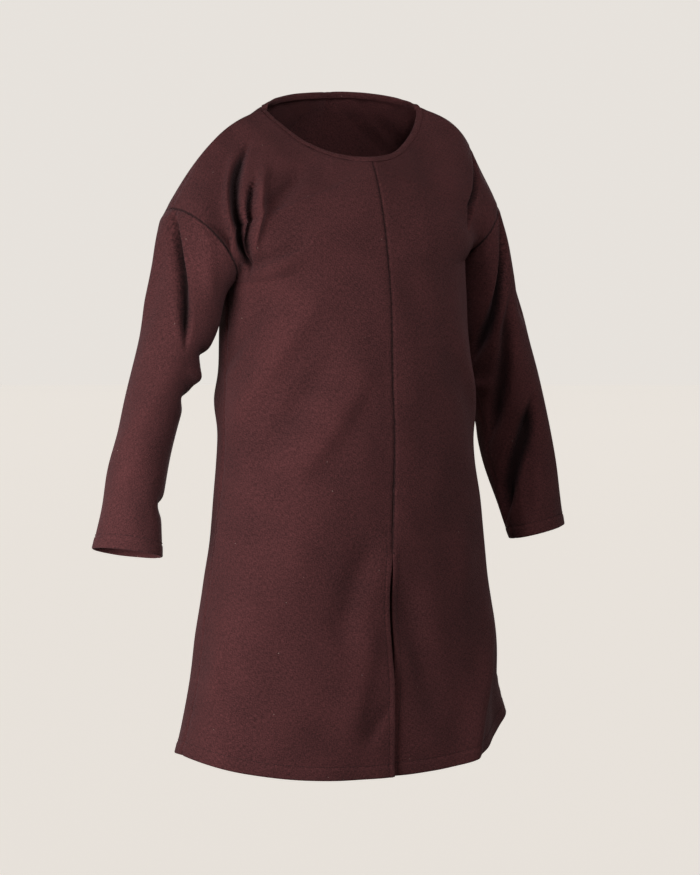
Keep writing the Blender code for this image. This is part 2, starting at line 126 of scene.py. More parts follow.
# Columns of the front (-1), which carries the sharpest creases, and the back (1), and how they crowd at edges
COLUMNS = {-1: (176, 0.4), 1: (88, 0.8)}
SHOULDER_CROWDING = 0.6

body_drop = ARMPIT[2] - HEM_SIDE_HEIGHT
band = HEM_BAND / body_drop
row_rise = np.concatenate([np.linspace(0, band, HEM_ROWS + 1), np.linspace(band, 1, SKIRT_ROWS + 1)[1:]])
round_neck = np.linspace(0, 1, NECK_ROWS + 1)[1:]
round_neck = round_neck * (1 + SHOULDER_CROWDING - SHOULDER_CROWDING * round_neck)
row_share = np.concatenate([np.linspace(0, 0.5, CHEST_ROWS + 1), 0.5 + 0.5 * round_neck])
column = {}
for face, (count, crowding) in COLUMNS.items():
    even = np.linspace(0, 1, count + 1)
    column[face] = even - crowding * np.sin(2 * np.pi * even) / (2 * np.pi)
ARMPIT_ROW = len(row_rise) - 1
NECK_FOOT = ARMPIT_ROW + CHEST_ROWS
print("half panel:", len(row_rise) + len(row_share) - 1, "rows,", len(column[-1]), "front columns")


# %% The tube below the armpits
def body_section(turn, height, face):
    """Superellipse at each height: half width times sin(turn)^(2/p), depth times cos(turn)^(2/p)."""
    knots = BODY_SECTIONS[:, 0]
    half_width, front, back, sway = (smooth(height, knots, BODY_SECTIONS[:, k]) for k in range(1, 5))
    power = 2 / SECTION_POWER
    depth = front if face < 0 else back
    across, outwards = np.sin(turn) ** power, np.abs(np.cos(turn)) ** power
    return stack(half_width * across, face * depth * outwards, height), sway


def armpit_row(turn, side):
    """Heights of the row at the armpits: level at the middle, slid by sin(turn)^2 towards the side."""
    return ARMPIT[2] - ARMHOLE_SLIDE[side] * np.sin(turn) ** 2


def lower_rows(face, side):
    """Rows from the hem, which dips at the middle as a power of the cosine, up to the armpit's height."""
    turn = column[face][None, :] * np.pi / 2
    middle = HEM_FRONT_HEIGHT if face < 0 else HEM_BACK_HEIGHT
    edge = HEM_SIDE_HEIGHT + side * HEM_SIDE_TILT
    hem = edge + (middle - edge) * np.abs(np.cos(turn)) ** HEM_ROUNDNESS
    height = hem + row_rise[:, None] * (armpit_row(turn, side) - hem)
    points, sway = body_section(np.broadcast_to(turn, height.shape), height, face)
    points[..., 0] += side * sway
    return points


# %% [markdown]
# ## Neck, armhole and shoulders
# Above the armpits a panel is no tube: it spans from the middle line or the neck to the slanting armhole of a
# dropped shoulder. Each row there is one cubic that leaves the neck and arrives at the armhole in directions
# read from how the cloth hangs, so that it falls over the shoulder as worn cloth does.

# %% Sizes of the shoulders
SHOULDER_END = np.array([0.263, 0.010, -0.142])
SLIDE_WAY = np.array([0.60, 0.0, -0.70])
ARMHOLE_HALF_DEPTH = 0.074
# Neck from the middle of the front over the left shoulder to the middle of the back: x, y, z. It tilts up
# towards the wearer's left, by this rise for each metre across.
NECK_TILT = 0.054
NECK_POINTS = np.array([
    (0.000, -0.083, -0.083),
    (0.046, -0.072, -0.076),
    (0.085, -0.047, -0.056),
    (0.113, -0.025, -0.032),
    (0.131, 0.000, -0.004),
    (0.111, 0.020, 0.007),
    (0.071, 0.040, 0.0155),
    (0.036, 0.048, 0.0185),
    (0.000, 0.051, 0.0190),
])
SHOULDER_STATION = 4
STATION_STEP = 0.01
# Ways in which rows leave the neck and meet the armhole, and their pulls at armpit, mid armhole and shoulder
NECK_DIP = 38.0
SHOULDER_START_WAY = np.array([0.90, -0.35, -0.20])
BACK_START_WAY = np.array([0.76, 0.10, -0.70])
SHOULDER_END_WAY = np.array([0.35, 0.30, -0.94])
FRONT_END_WAY = np.array([0.62, 0.0, -0.78])
START_PULLS = (1.38, 1.20, 1.15)
END_PULLS = (0.92, 0.90, 1.50)
CHEST_LEAN = 0.35
ARMPIT_EASE = 0.45


# %% From the armpits to the shoulder seam
def neck_curve(station, side):
    """Smooth curve over the neck's stations, mirrored past both ends so that it crosses the middle evenly."""
    mirror = np.array([-1.0, 1.0, 1.0])
    points = np.vstack([NECK_POINTS[1:2] * mirror, NECK_POINTS, NECK_POINTS[-2:-1] * mirror])
    points[:, 2] += side * NECK_TILT * points[:, 0]
    knots = np.arange(-1.0, len(NECK_POINTS) + 1)
    return stack(*(smooth(station, knots, points[:, k]) for k in range(3)))


def armhole_ends(side):
    """The armpit, which lies on the side seam, and the shoulder's end, both slid along the arm."""
    slide = ARMHOLE_SLIDE[side]
    armpit = body_section(np.full(1, np.pi / 2), np.full(1, ARMPIT[2] - slide), 1)[0][0]
    return armpit, SHOULDER_END + slide * SLIDE_WAY


def armhole_loop(turn, side):
    """Ellipse in a slanting plane: turn 0 is the shoulder's end, 90 degrees the front, 180 the armpit."""
    armpit, shoulder_end = armhole_ends(side)
    middle = (shoulder_end + armpit) / 2
    up = (shoulder_end - armpit) / 2
    forward = np.array([0.0, -ARMHOLE_HALF_DEPTH, 0.0])
    return middle + np.cos(turn)[..., None] * up + np.sin(turn)[..., None] * forward


def upper_rows(face, side):
    """Hermite cubics from the middle line or neck to the armhole; the lowest ease into the body's oval."""
    share = row_share
    on_neck = (share >= 0.5)[:, None]
    below = np.clip(share / 0.5, 0, 1)
    past_foot = np.clip(share / 0.5 - 1, 0, 1)
    outer = armhole_loop(-face * np.pi * (1 - share), side)

    last = len(NECK_POINTS) - 1
    station = past_foot * SHOULDER_STATION if face < 0 else last - past_foot * (last - SHOULDER_STATION)
    neck = neck_curve(station, side)
    foot = body_section(np.zeros(1), np.full(1, ARMPIT[2]), face)[0][0]
    middle = foot + (neck[0] - foot) * stack(below, CHEST_LEAN * below + (1 - CHEST_LEAN) * below**2, below)
    inner = np.where(on_neck, neck, middle)

    up = unit(neck[0] - foot)
    ahead, behind = neck_curve(station + STATION_STEP, side), neck_curve(station - STATION_STEP, side)
    along = unit(ahead - behind) * -face
    turn = (np.pi / 2 * past_foot)[:, None]
    out = SHOULDER_START_WAY if face < 0 else BACK_START_WAY
    out = unit(out + (SHOULDER_START_WAY - out) * (past_foot**4)[:, None])
    away = unit(np.cos(turn) * -up + np.sin(turn) * out)
    dip = np.where(share < 0.5, NECK_DIP * below**2, NECK_DIP + (90 - NECK_DIP) * past_foot)
    dip = np.radians(dip)[:, None]
    start_way = np.where(on_neck,
                         np.cos(dip) * along + np.sin(dip) * away,
                         np.cos(dip) * np.array([1.0, 0.0, 0.0]) - np.sin(dip) * up)
    over = ease((1 - share) / 0.5)[:, None]
    under = ease((0.5 - share) / 0.5)[:, None]
    armpit_way = np.array([0.0, -face, 0.0])
    top_way = SHOULDER_END_WAY + (FRONT_END_WAY - SHOULDER_END_WAY) * over
    end_way = unit(np.where(on_neck, top_way, FRONT_END_WAY + (armpit_way - FRONT_END_WAY) * under))
    span = np.linalg.norm(outer - inner, axis=1, keepdims=True)
    start_way = start_way * span * np.interp(share, [0.0, 0.5, 1.0], START_PULLS)[:, None]
    end_way = end_way * span * np.interp(share, [0.0, 0.5, 1.0], END_PULLS)[:, None]

    t = column[face][None, :, None]
    rows = (2 * t**3 - 3 * t**2 + 1) * inner[:, None] + (t**3 - 2 * t**2 + t) * start_way[:, None]
    rows = rows + (3 * t**2 - 2 * t**3) * outer[:, None] + (t**3 - t**2) * end_way[:, None]
    turn = column[face] * np.pi / 2
    section = body_section(turn, armpit_row(turn, side), face)[0]
    return rows + (section - rows[0]) * (1 - ease(share / ARMPIT_EASE))[:, None, None]


# %% [markdown]
# ## Folds
# Worn wool of this weight makes few folds: deep creases at the armpits and elbows, long soft drag lines from
# the chest to the waist, and flutes in the skirt. They could be sculpted or simulated; here each one is a row
# of a table, because a crease that is placed stays where it belongs. A fold runs along a
# slightly bent line on the flat cloth, rises or sinks as a bell with its own width on each side, and dies
# away towards both ends. A crease is the same but narrower and steeper, and tapers to a point.

# %% Height of the folds
CREASE_POWER = 2.6
FOLD_FADE = 3
CREASE_FADE = 3.5
CREASE_TAPER = 0.35
RELIEF_FLOOR = -0.005


def valley(distance, width):
    """Steep walls with a rounded bottom: exp(-|distance / width|^p)."""
    return np.exp(-np.abs(distance / width) ** CREASE_POWER)


def fold_lift(across, along, folds, shape=bell, fade=FOLD_FADE, taper=1.0):
    """Sum over the folds of lift * shape(distance aside, width of that side) * fade at both ends of the line.

    A fold's line is its chord, bent aside by 4 * bow * t * (1 - t). Its width narrows to the taper at both
    ends.
    """
    lift = np.zeros(np.broadcast(across, along).shape)
    for start_a, start_b, end_a, end_b, bow, high_width, low_width, height in folds:
        run_a, run_b = end_a - start_a, end_b - start_b
        length = np.hypot(run_a, run_b)
        t = ((across - start_a) * run_a + (along - start_b) * run_b) / length**2
        aside = ((across - start_a) * run_b - (along - start_b) * run_a) / length
        aside = aside - bow * 4 * t * (1 - t)
        ends = ease(fade * t) * ease(fade * (1 - t))
        width = np.where(aside > 0, high_width, low_width) * (taper + (1 - taper) * ends)
        lift += height * shape(aside, width) * ends
    return lift


# %% Folds of the front and the back
# Face (-1 front, 1 back), start across and height, end across and height, bow, width towards the wearer's
# left, width towards the right, lift. Across is measured on the cloth from the middle.
PANEL_FOLDS = np.array([
    # Folds from the right armpit over the chest
    (-1, -0.206, -0.232, -0.158, -0.082, -0.010, 0.007, 0.006, 0.012),
    (-1, -0.205, -0.176, -0.098, -0.092, 0.000, 0.008, 0.010, -0.011),
    (-1, -0.238, -0.290, -0.200, -0.050, -0.030, 0.004, 0.022, -0.008),
    (-1, -0.275, -0.258, -0.110, -0.196, 0.004, 0.006, 0.012, -0.008),
    (-1, -0.262, -0.278, -0.110, -0.212, 0.004, 0.012, 0.014, 0.004),
    # Drag lines from the chest down to the right side
    (-1, -0.285, -0.500, -0.088, -0.248, 0.006, 0.018, 0.026, 0.009),
    (-1, -0.240, -0.550, -0.068, -0.323, 0.006, 0.018, 0.020, -0.007),
    (-1, -0.170, -0.550, -0.030, -0.365, 0.006, 0.018, 0.026, 0.008),
    (-1, -0.300, -0.400, -0.160, -0.270, 0.004, 0.012, 0.016, -0.005),
    # Flutes beside the slit
    (-1, -0.105, -0.800, -0.028, -0.600, 0.000, 0.020, 0.026, -0.008),
    (-1, -0.095, -0.930, -0.036, -0.720, 0.000, 0.020, 0.024, 0.006),
    (-1, -0.066, -0.925, -0.014, -0.850, 0.000, 0.010, 0.013, -0.003),
    (-1, -0.300, -0.860, -0.270, -0.760, 0.000, 0.014, 0.018, 0.005),
    # Left front: flare at the side, hollow beside the slit
    (-1, 0.120, -1.090, 0.240, -0.750, -0.014, 0.014, 0.030, 0.011),
    (-1, 0.235, -1.250, 0.280, -0.750, 0.000, 0.070, 0.075, -0.025),
    (-1, 0.095, -0.900, 0.006, -0.660, 0.000, 0.026, 0.024, -0.008),
    (-1, 0.270, -0.520, 0.100, -0.280, -0.006, 0.026, 0.020, 0.006),
    # Back: creases at the armholes, flutes of the skirt, drag lines above the waist
    (1, -0.222, -0.300, -0.200, -0.090, 0.000, 0.010, 0.012, -0.010),
    (1, 0.228, -0.310, 0.206, -0.080, 0.000, 0.012, 0.010, -0.011),
    (1, -0.130, -1.080, -0.070, -0.480, 0.006, 0.032, 0.024, 0.012),
    (1, -0.040, -1.060, -0.015, -0.560, 0.000, 0.024, 0.026, -0.010),
    (1, 0.060, -1.080, 0.030, -0.440, 0.004, 0.026, 0.032, 0.011),
    (1, 0.150, -1.060, 0.085, -0.520, 0.000, 0.026, 0.022, -0.010),
    (1, 0.225, -0.520, 0.030, -0.330, 0.008, 0.022, 0.024, 0.007),
    (1, -0.240, -0.470, -0.060, -0.300, 0.006, 0.022, 0.024, 0.007),
    (1, -0.190, -0.230, -0.080, -0.150, 0.004, 0.012, 0.014, -0.004),
    (1, 0.180, -0.250, 0.070, -0.140, 0.004, 0.014, 0.012, -0.004),
])
# Creases, in the same columns: two at the right armpit, one before the left armhole, one behind each armhole
PANEL_CREASES = np.array([
    (-1, -0.208, -0.264, -0.170, -0.052, -0.034, 0.0040, 0.0100, -0.024),
    (-1, -0.211, -0.248, -0.178, -0.104, -0.018, 0.0055, 0.0036, -0.017),
    (-1, 0.166, -0.188, 0.250, -0.024, 0.000, 0.0050, 0.0060, -0.015),
    (1, -0.218, -0.235, -0.196, -0.110, 0.010, 0.0060, 0.0070, -0.012),
    (1, 0.226, -0.225, 0.204, -0.095, -0.010, 0.0070, 0.0060, -0.013),
])

# %% Folds of the sleeves
# Side (1 left, -1 right), start turn in degrees and length, end turn and length, bow, width towards higher
# turns, width towards lower turns, lift. Turn 0 is outside, 90 front, 180 inside. Lengths start where the
# armhole would be if it had not slid.
SLEEVE_FOLDS = np.array([
    (-1, -4.0, 0.000, -14.0, 0.170, 0.000, 0.012, 0.014, 0.004),
    (-1, 40.0, -0.020, 100.0, 0.110, 0.004, 0.012, 0.012, 0.004),
    (-1, 105.0, 0.165, 250.0, 0.180, 0.000, 0.010, 0.011, -0.008),
    (-1, 100.0, 0.195, 255.0, 0.212, 0.000, 0.011, 0.010, 0.008),
    (-1, 110.0, 0.232, 240.0, 0.245, 0.000, 0.011, 0.012, -0.008),
    (-1, 115.0, 0.390, 235.0, 0.400, 0.000, 0.010, 0.012, -0.008),
    (-1, 310.0, -0.010, 245.0, 0.150, 0.004, 0.011, 0.010, -0.009),
    (-1, 215.0, 0.270, 325.0, 0.240, 0.000, 0.013, 0.011, -0.006),
    (1, 96.0, 0.285, 140.0, 0.450, 0.000, 0.009, 0.011, -0.005),
    (1, 10.0, -0.010, 58.0, 0.150, 0.000, 0.012, 0.010, -0.008),
    (1, 130.0, 0.215, 262.0, 0.225, 0.000, 0.012, 0.012, 0.006),
    (1, 300.0, -0.010, 250.0, 0.160, 0.000, 0.010, 0.012, -0.008),
    (1, 205.0, 0.290, 320.0, 0.250, 0.000, 0.012, 0.012, -0.006),
])
# Creases, in the same columns: one over the right upper arm, three slanting round the left arm
SLEEVE_CREASES = np.array([
    (-1, 0.0, 0.004, 92.0, 0.180, 0.004, 0.0050, 0.0090, -0.019),
    (1, 54.0, -0.055, 192.0, 0.195, -0.019, 0.0075, 0.0120, -0.022),
    (1, 76.0, 0.075, 186.0, 0.328, -0.004, 0.0100, 0.0130, -0.014),
    (1, 76.0, 0.238, 212.0, 0.450, -0.004, 0.0120, 0.0140, -0.021),
])

# %% [markdown]
# ## Unevenness of the cloth
# No worn wool is as even as a formula: it has slack places a hand wide. A noise texture could displace the
# mesh, but a sum of a few long waves with fixed random ways is smooth at every scale and the same on every
# run. Beside a seam the cloth also puckers in short ripples, where one edge was eased into the other.

# %% Waves and puckers
WAVES = 14
WAVE_LENGTHS = (0.050, 0.190)
WAVE_SLOPE = 0.020
WAVE_LEAN = np.radians(55)
PANEL_SEED = 11
SLEEVE_SEED = 31
PUCKER_LENGTH = 0.021
PUCKER_OTHER_LENGTH = PUCKER_LENGTH * 1.37
PUCKER_HEIGHT = 0.0003
PUCKER_REACH = 0.013


def slack_waves(across, along, seed):
    """Sum of sine waves, each with its own length and way; the height is the slope times length / (2 pi)."""
    draw = np.random.default_rng(seed)
    height = np.zeros(np.broadcast(across, along).shape)
    for length in np.geomspace(*WAVE_LENGTHS, WAVES):
        lean = draw.uniform(-WAVE_LEAN, WAVE_LEAN)
        start = draw.uniform(0, 2 * np.pi)
        place = across * np.cos(lean) + along * np.sin(lean)
        height += WAVE_SLOPE * length / (2 * np.pi) * np.sin(2 * np.pi * place / length + start)
    return height


def puckers(from_seam, along):
    """Ripples along a seam: two sines of unlike length, fading with the distance from the seam."""
    ripple = np.sin(2 * np.pi * along / PUCKER_LENGTH) + np.sin(2 * np.pi * along / PUCKER_OTHER_LENGTH)
    return PUCKER_HEIGHT * ripple * bell(from_seam, PUCKER_REACH)


# %% [markdown]
# ## Seams, hems and the slit
# A seam draws the cloth into a shallow valley. A hem is the cloth turned up once and stitched, so a band
# along the edge stands a little proud and ends at a dented line of stitches. These are too small for the
# solids and are added here to the height of the cloth, by distance from the seam or the edge.

# %% Sizes of the sewing
CLOTH = 0.0020
HEM_CLOTH = 0.0036
SEAM_VALLEY = 0.0014
ARMHOLE_VALLEY = 0.0006
NECK_VALLEY = 0.0016
SEAM_SPREAD = 0.0032
SEAM_CALM = 0.009
# Painted shade along the seams: how far it lowers the relief that darkens the wool's colour, and its reach
SEAM_SHADE = 0.013
SEAM_SHADE_REACH = 0.0011
HEM_SWELL = 0.0009
HEM_STEP = 0.004
STITCH_DENT = 0.0010
STITCH_SPREAD = 0.0022
SLIT_TOP = -0.640
SLIT_GAP = 0.006
SLIT_RECESS = 0.010
SLIT_REACH = 0.035
SLIT_QUICK = 5
SLIT_LAP = 0.008
SLIT_LAP_START = 0.375
SLIT_STITCH = 0.009
EDGE_REACH = 0.010
BINDING_LIP = 0.0022


def turned_edge(from_edge, depth):
    """A turned-up band: proud by the swell up to the stitches, which dent it."""
    swell = HEM_SWELL * (1 - ease((from_edge - depth) / HEM_STEP))
    return swell - STITCH_DENT * bell(from_edge - depth, STITCH_SPREAD)


def normals_of(grid, sign, closed=False):
    """Unit cross product of the central differences along columns and rows."""
    if closed:
        around = np.roll(grid, -1, axis=1) - np.roll(grid, 1, axis=1)
    else:
        around = np.gradient(grid, axis=1)
    return unit(np.cross(around, np.gradient(grid, axis=0)) * sign)


# %% One half of the front or the back
def body_half(face, side):
    """The panel's form moved along its normals by folds, waves, puckers, seams and hem, then the slit opened.

    Gives the points, each point's place on the flat cloth, and the relief that the wool's colour turns into
    painted shade and highlight: the height of its folds, lowered further along the seams, where only a crease
    or a seam may be deeper than the relief floor.
    """
    rows = np.concatenate([lower_rows(face, side), upper_rows(face, side)[1:]]) * np.array([side, 1.0, 1.0])
    from_middle, from_hem = run_along(rows, 1), run_along(rows, 0)
    from_side, from_shoulder = from_middle[:, -1:] - from_middle, from_hem[-1:] - from_hem
    across = side * (from_middle + np.abs(rows[:, :1, 0]))
    height = rows[..., 2]

    soft, sharp = ([fold[1:] for fold in folded if fold[0] == face]
                   for folded in (PANEL_FOLDS, PANEL_CREASES))
    creases = fold_lift(across, height, sharp, valley, CREASE_FADE, CREASE_TAPER)
    folds = fold_lift(across, height, soft) + slack_waves(across, height, seed=PANEL_SEED + face)
    relief = np.maximum(folds, RELIEF_FLOOR) + creases
    folds += creases
    calm = ease(from_side / SEAM_CALM) * ease(from_shoulder / SEAM_CALM)
    lift = folds * calm + puckers(from_side, height)
    sunk = np.where(np.arange(len(rows)) <= ARMPIT_ROW, SEAM_VALLEY, ARMHOLE_VALLEY)[:, None]
    lift -= sunk * bell(from_side, SEAM_SPREAD) + ARMHOLE_VALLEY * bell(from_shoulder, SEAM_SPREAD)
    lift += turned_edge(from_hem, HEM_DEPTH)
    slit = ease((SLIT_TOP - height) / SLIT_STITCH)
    on_middle = (np.arange(len(rows)) <= NECK_FOOT)[:, None]
    on_armhole = (np.arange(len(rows)) >= ARMPIT_ROW)[:, None]
    # Painted shade along the armhole seam: only the relief is lowered, which darkens the wool's colour
    relief -= SEAM_SHADE * on_armhole * bell(from_side, SEAM_SHADE_REACH)
    lift -= NECK_VALLEY * ~on_middle * bell(from_middle, SEAM_SPREAD + BINDING_LIP)
    if face < 0:
        sewn = on_middle * (1 - slit)
        # Painted shade along the middle seam above the slit
        relief -= SEAM_SHADE * sewn * bell(from_middle, SEAM_SHADE_REACH)
        lift += sewn * (puckers(from_middle, height) - SEAM_VALLEY * bell(from_middle, SEAM_SPREAD))
        lift += slit * turned_edge(from_middle, SLIT_STITCH)
    rows = rows + normals_of(rows, -face * side) * lift[..., None]

    if face < 0:
        depth = np.clip((SLIT_TOP - height) / (SLIT_TOP - HEM_FRONT_HEIGHT), 0, 1)
        near = np.exp(-from_middle / SLIT_REACH)
        lap = SLIT_LAP * ease((depth - SLIT_LAP_START) / (1 - SLIT_LAP_START)) * (side > 0)
        rows[..., 0] += (side * SLIT_GAP / 2 * ease(depth * SLIT_QUICK) - lap) * near
        rows[..., 1] += SLIT_RECESS * ease(depth) * near * (side > 0)
    return rows, np.stack([across, from_hem], axis=-1), relief


# %% [markdown]
# ## The sleeves
# Each sleeve is a tube of ovals that turn and bend with the arm, from the armhole to a plain cuff. Its first
# ring is the armhole itself, and its columns start at the panels' rows, so both sides of the seam meet.

# %% Sizes of the sleeves
# Centre x, y, z, half size outwards and forwards, skew of the oval, lean of the outer edge and rise of the
# front edge in degrees
SLEEVE_SECTIONS = np.array([
    (0.244, 0.006, -0.245, 0.053, 0.067, -0.003, 34.0, 0.0),
    (0.259, 0.008, -0.311, 0.052, 0.060, 0.001, 20.0, 0.0),
    (0.280, 0.012, -0.375, 0.048, 0.056, 0.005, 14.0, 0.0),
    (0.301, 0.016, -0.440, 0.046, 0.053, 0.008, 12.0, 0.0),
    (0.323, 0.017, -0.525, 0.046, 0.052, 0.008, 12.0, 3.0),
    (0.337, 0.009, -0.585, 0.044, 0.048, 0.003, 12.0, 5.5),
    (0.348, 0.001, -0.637, 0.046, 0.046, -0.004, 12.0, 7.5),
])
SLEEVE_RADIUS = 0.0555
ARMHOLE_BLEND = 0.06
SLEEVE_ROWS = 160
CUFF_ROWS = 16
CUFF_DEPTH = 0.018
ARMHOLE_ROWS = 10
ARMHOLE_BAND = 0.012

half_turns = np.pi * (1 - row_share[::-1])
sleeve_turns = np.concatenate([half_turns, 2 * np.pi - half_turns[-2:0:-1]])


# %% Rings of a sleeve
def sleeve_rings(side):
    """Ovals cos(turn) outwards and sin(turn) forwards along a smooth centre line, fitted to the armhole."""
    turns = sleeve_turns
    armpit, shoulder_end = armhole_ends(side)
    half = (shoulder_end - armpit) / 2
    lean = np.degrees(np.arctan2(half[2], half[0]))
    armhole = [*(shoulder_end + armpit) / 2, np.linalg.norm(half), ARMHOLE_HALF_DEPTH, 0.0, lean, 0.0]
    table = np.vstack([armhole, SLEEVE_SECTIONS])
    knots = np.concatenate([[0], np.cumsum(np.linalg.norm(np.diff(table[:, :3], axis=0), axis=1))])
    cuff = knots[-1] - HEM_BAND
    at = np.concatenate([
        np.linspace(0, ARMHOLE_BAND, ARMHOLE_ROWS + 1),
        np.linspace(ARMHOLE_BAND, cuff, SLEEVE_ROWS - ARMHOLE_ROWS - CUFF_ROWS + 1)[1:],
        np.linspace(cuff, knots[-1], CUFF_ROWS + 1)[1:],
    ])
    x, y, z, out, forward, skew, lean, rise = (smooth(at, knots, table[:, k])[:, None] for k in range(8))
    lean, rise = np.radians(lean), np.radians(rise)
    outwards = out * np.cos(turns) + skew * np.sin(turns)
    forwards = skew * np.cos(turns) + forward * np.sin(turns)
    rings = stack(
        x + outwards * np.cos(lean),
        y - forwards * np.cos(rise),
        z + outwards * np.sin(lean) + forwards * np.sin(rise),
    )
    rings += (armhole_loop(turns, side) - rings[0]) * (1 - ease(at / ARMHOLE_BLEND))[:, None, None]
    rings *= np.array([side, 1.0, 1.0])

    per_degree = np.radians(SLEEVE_RADIUS)
    round_arm = np.degrees(turns)[None, :] * per_degree
    along = at[:, None]
    soft, sharp = ([(fold[1] * per_degree, fold[2], fold[3] * per_degree, *fold[4:])
                    for fold in folded if fold[0] == side] for folded in (SLEEVE_FOLDS, SLEEVE_CREASES))
    from_even = along + ARMHOLE_SLIDE[side]
    out_place, front_place = np.cos(turns)[None, :] * SLEEVE_RADIUS, np.sin(turns) * SLEEVE_RADIUS
    folds = slack_waves(out_place, along + front_place, seed=SLEEVE_SEED + side)
    creases = np.zeros(rings.shape[:2])
    for lap in (-360, 0, 360):
        turned = round_arm + lap * per_degree
        folds += fold_lift(turned, from_even, soft)
        creases += fold_lift(turned, from_even, sharp, valley, CREASE_FADE, CREASE_TAPER)
    relief = np.maximum(folds, RELIEF_FLOOR) + creases
    # Painted shade along the armhole seam: only the relief is lowered
    relief -= SEAM_SHADE * bell(along, SEAM_SHADE_REACH)
    folds = folds + creases
    lift = folds * ease(along / SEAM_CALM) + puckers(along, round_arm)
    from_underarm = np.abs(round_arm - 180 * per_degree)
    lift -= ARMHOLE_VALLEY * bell(along, SEAM_SPREAD) + SEAM_VALLEY * bell(from_underarm, SEAM_SPREAD)
    lift += turned_edge(at[-1] - along, CUFF_DEPTH)
    rings = rings + normals_of(rings, side, True) * lift[..., None]
    return rings, np.stack(np.broadcast_arrays(round_arm, along), axis=-1), relief


# %% Grids of all the cloth
grids, normals, places, reliefs = {}, {}, {}, {}
for side in (1, -1):
    for piece, face in (("front", -1), ("back", 1)):
        key = piece, side
        grids[key], places[key], reliefs[key] = body_half(face, side)
        normals[key] = normals_of(grids[key], -face * side)
    key = "sleeve", side
    grids[key], places[key], reliefs[key] = sleeve_rings(side)
    normals[key] = normals_of(grids[key], side, True)
print("cloth grids:", {"_".join(map(str, key)): grid.shape[:2] for key, grid in grids.items()})

# %% [markdown]
# ## Walls of cloth
# The cloth is 2 mm thick, nearly double at the hems, and that thickness shows at every open edge. A Solidify
# modifier would do, but along a seam two pieces must share one normal or their walls part, so the inner side
# is worked out here. Each edge is rounded as a half circle, as thick wool is, and drawn back by its own
# radius so that two rounded edges just touch in the seam and leave its dark line.

# %% Common normals at the seams
# Where two pieces may part, normals whose product is below the first value stay apart. They join fully
# once it is higher by the second.
PARTS_BELOW = 0.1
PARTS_OVER = 0.6


def join(first, second, may_part=False):
    """Both normals become their sum, weighted down where the pieces may fold back on each other."""
    together = np.ones(1)
    if may_part:
        together = ease(((first * second).sum(-1, keepdims=True) - PARTS_BELOW) / PARTS_OVER)
    return unit(first + second * together), unit(second + first * together)


def carry(vectors, face):
    """A row of one face's vectors at the other face's columns, each coordinate in proportion."""
    return np.stack([np.interp(column[-face], column[face], vectors[:, k]) for k in range(3)], axis=-1)


half_ring = np.arange(len(row_share))
backwards = (-half_ring) % len(sleeve_turns)
for side in (1, -1):
    front, back, sleeve = normals["front", side], normals["back", side], normals["sleeve", side]
    below = slice(0, ARMPIT_ROW + 1)
    front[below, -1], back[below, -1] = join(front[below, -1], back[below, -1])
    over_back, over_front = carry(front[-1], -1), carry(back[-1], 1)
    front[-1], back[-1] = join(front[-1], over_front)[0], join(back[-1], over_back)[0]
    front_edge, front_sleeve = join(front[-1 - half_ring, -1], sleeve[0, half_ring], True)
    back_edge, back_sleeve = join(back[-1 - half_ring, -1], sleeve[0, backwards], True)
    front[-1 - half_ring, -1], back[-1 - half_ring, -1] = front_edge, back_edge
    sleeve[0, half_ring], sleeve[0, backwards] = front_sleeve, back_sleeve
    front[-1, -1] = back[-1, -1] = sleeve[0, 0]
for piece in ("front", "back"):
    left, right = normals[piece, 1], normals[piece, -1]
    left[:, 0], right[:, 0] = join(left[:, 0], right[:, 0])


# %% Thickness of the cloth and room for its rounded edges
def thickness_of(key):
    """The cloth's thickness, eased to the hem's within the turned-up band of a hem or a cuff."""
    flat_run = run_along(grids[key], 0)
    from_edge = flat_run[-1:] - flat_run if key[0] == "sleeve" else flat_run
    return HEM_CLOTH + (CLOTH - HEM_CLOTH) * ease((from_edge - HEM_DEPTH) / HEM_STEP)


def draw_back(key, thickness):
    """Moves points near an edge inwards along the cloth by half its thickness, fading over a short reach."""
    grid = grids[key]
    up_way = unit(np.gradient(grid, axis=0))
    upwards = run_along(grid, 0)
    near = thickness / 2 * (1 - ease(upwards / EDGE_REACH))
    far = thickness / 2 * (1 - ease((upwards[-1:] - upwards) / EDGE_REACH))
    moved = grid + up_way * (near - far)[..., None]
    if key[0] != "sleeve":
        across_way = unit(np.gradient(grid, axis=1))
        outwards = run_along(grid, 1)
        near = thickness / 2 * (1 - ease(outwards / EDGE_REACH)) * (key[0] == "front")
        far = thickness / 2 * (1 - ease((outwards[:, -1:] - outwards) / EDGE_REACH))
        moved = moved + across_way * (near - far)[..., None]
    return moved


inside = {}
for key in grids:
    thickness = thickness_of(key)
    grids[key] = draw_back(key, thickness)
    inside[key] = grids[key] - normals[key] * thickness[..., None]
print("walls:", round(1000 * CLOTH, 1), "mm, and", round(1000 * HEM_CLOTH, 1), "mm at the hems")


# %% Meshes from grids
EDGE_STEPS = 4
SHARP_ANGLE = np.radians(60)


def quads(index):
    """Four corners of each face of a grid of numbers."""
    corners = [index[:-1, :-1], index[:-1, 1:], index[1:, 1:], index[1:, :-1]]
    return np.stack(corners, axis=-1).reshape(-1, 4)


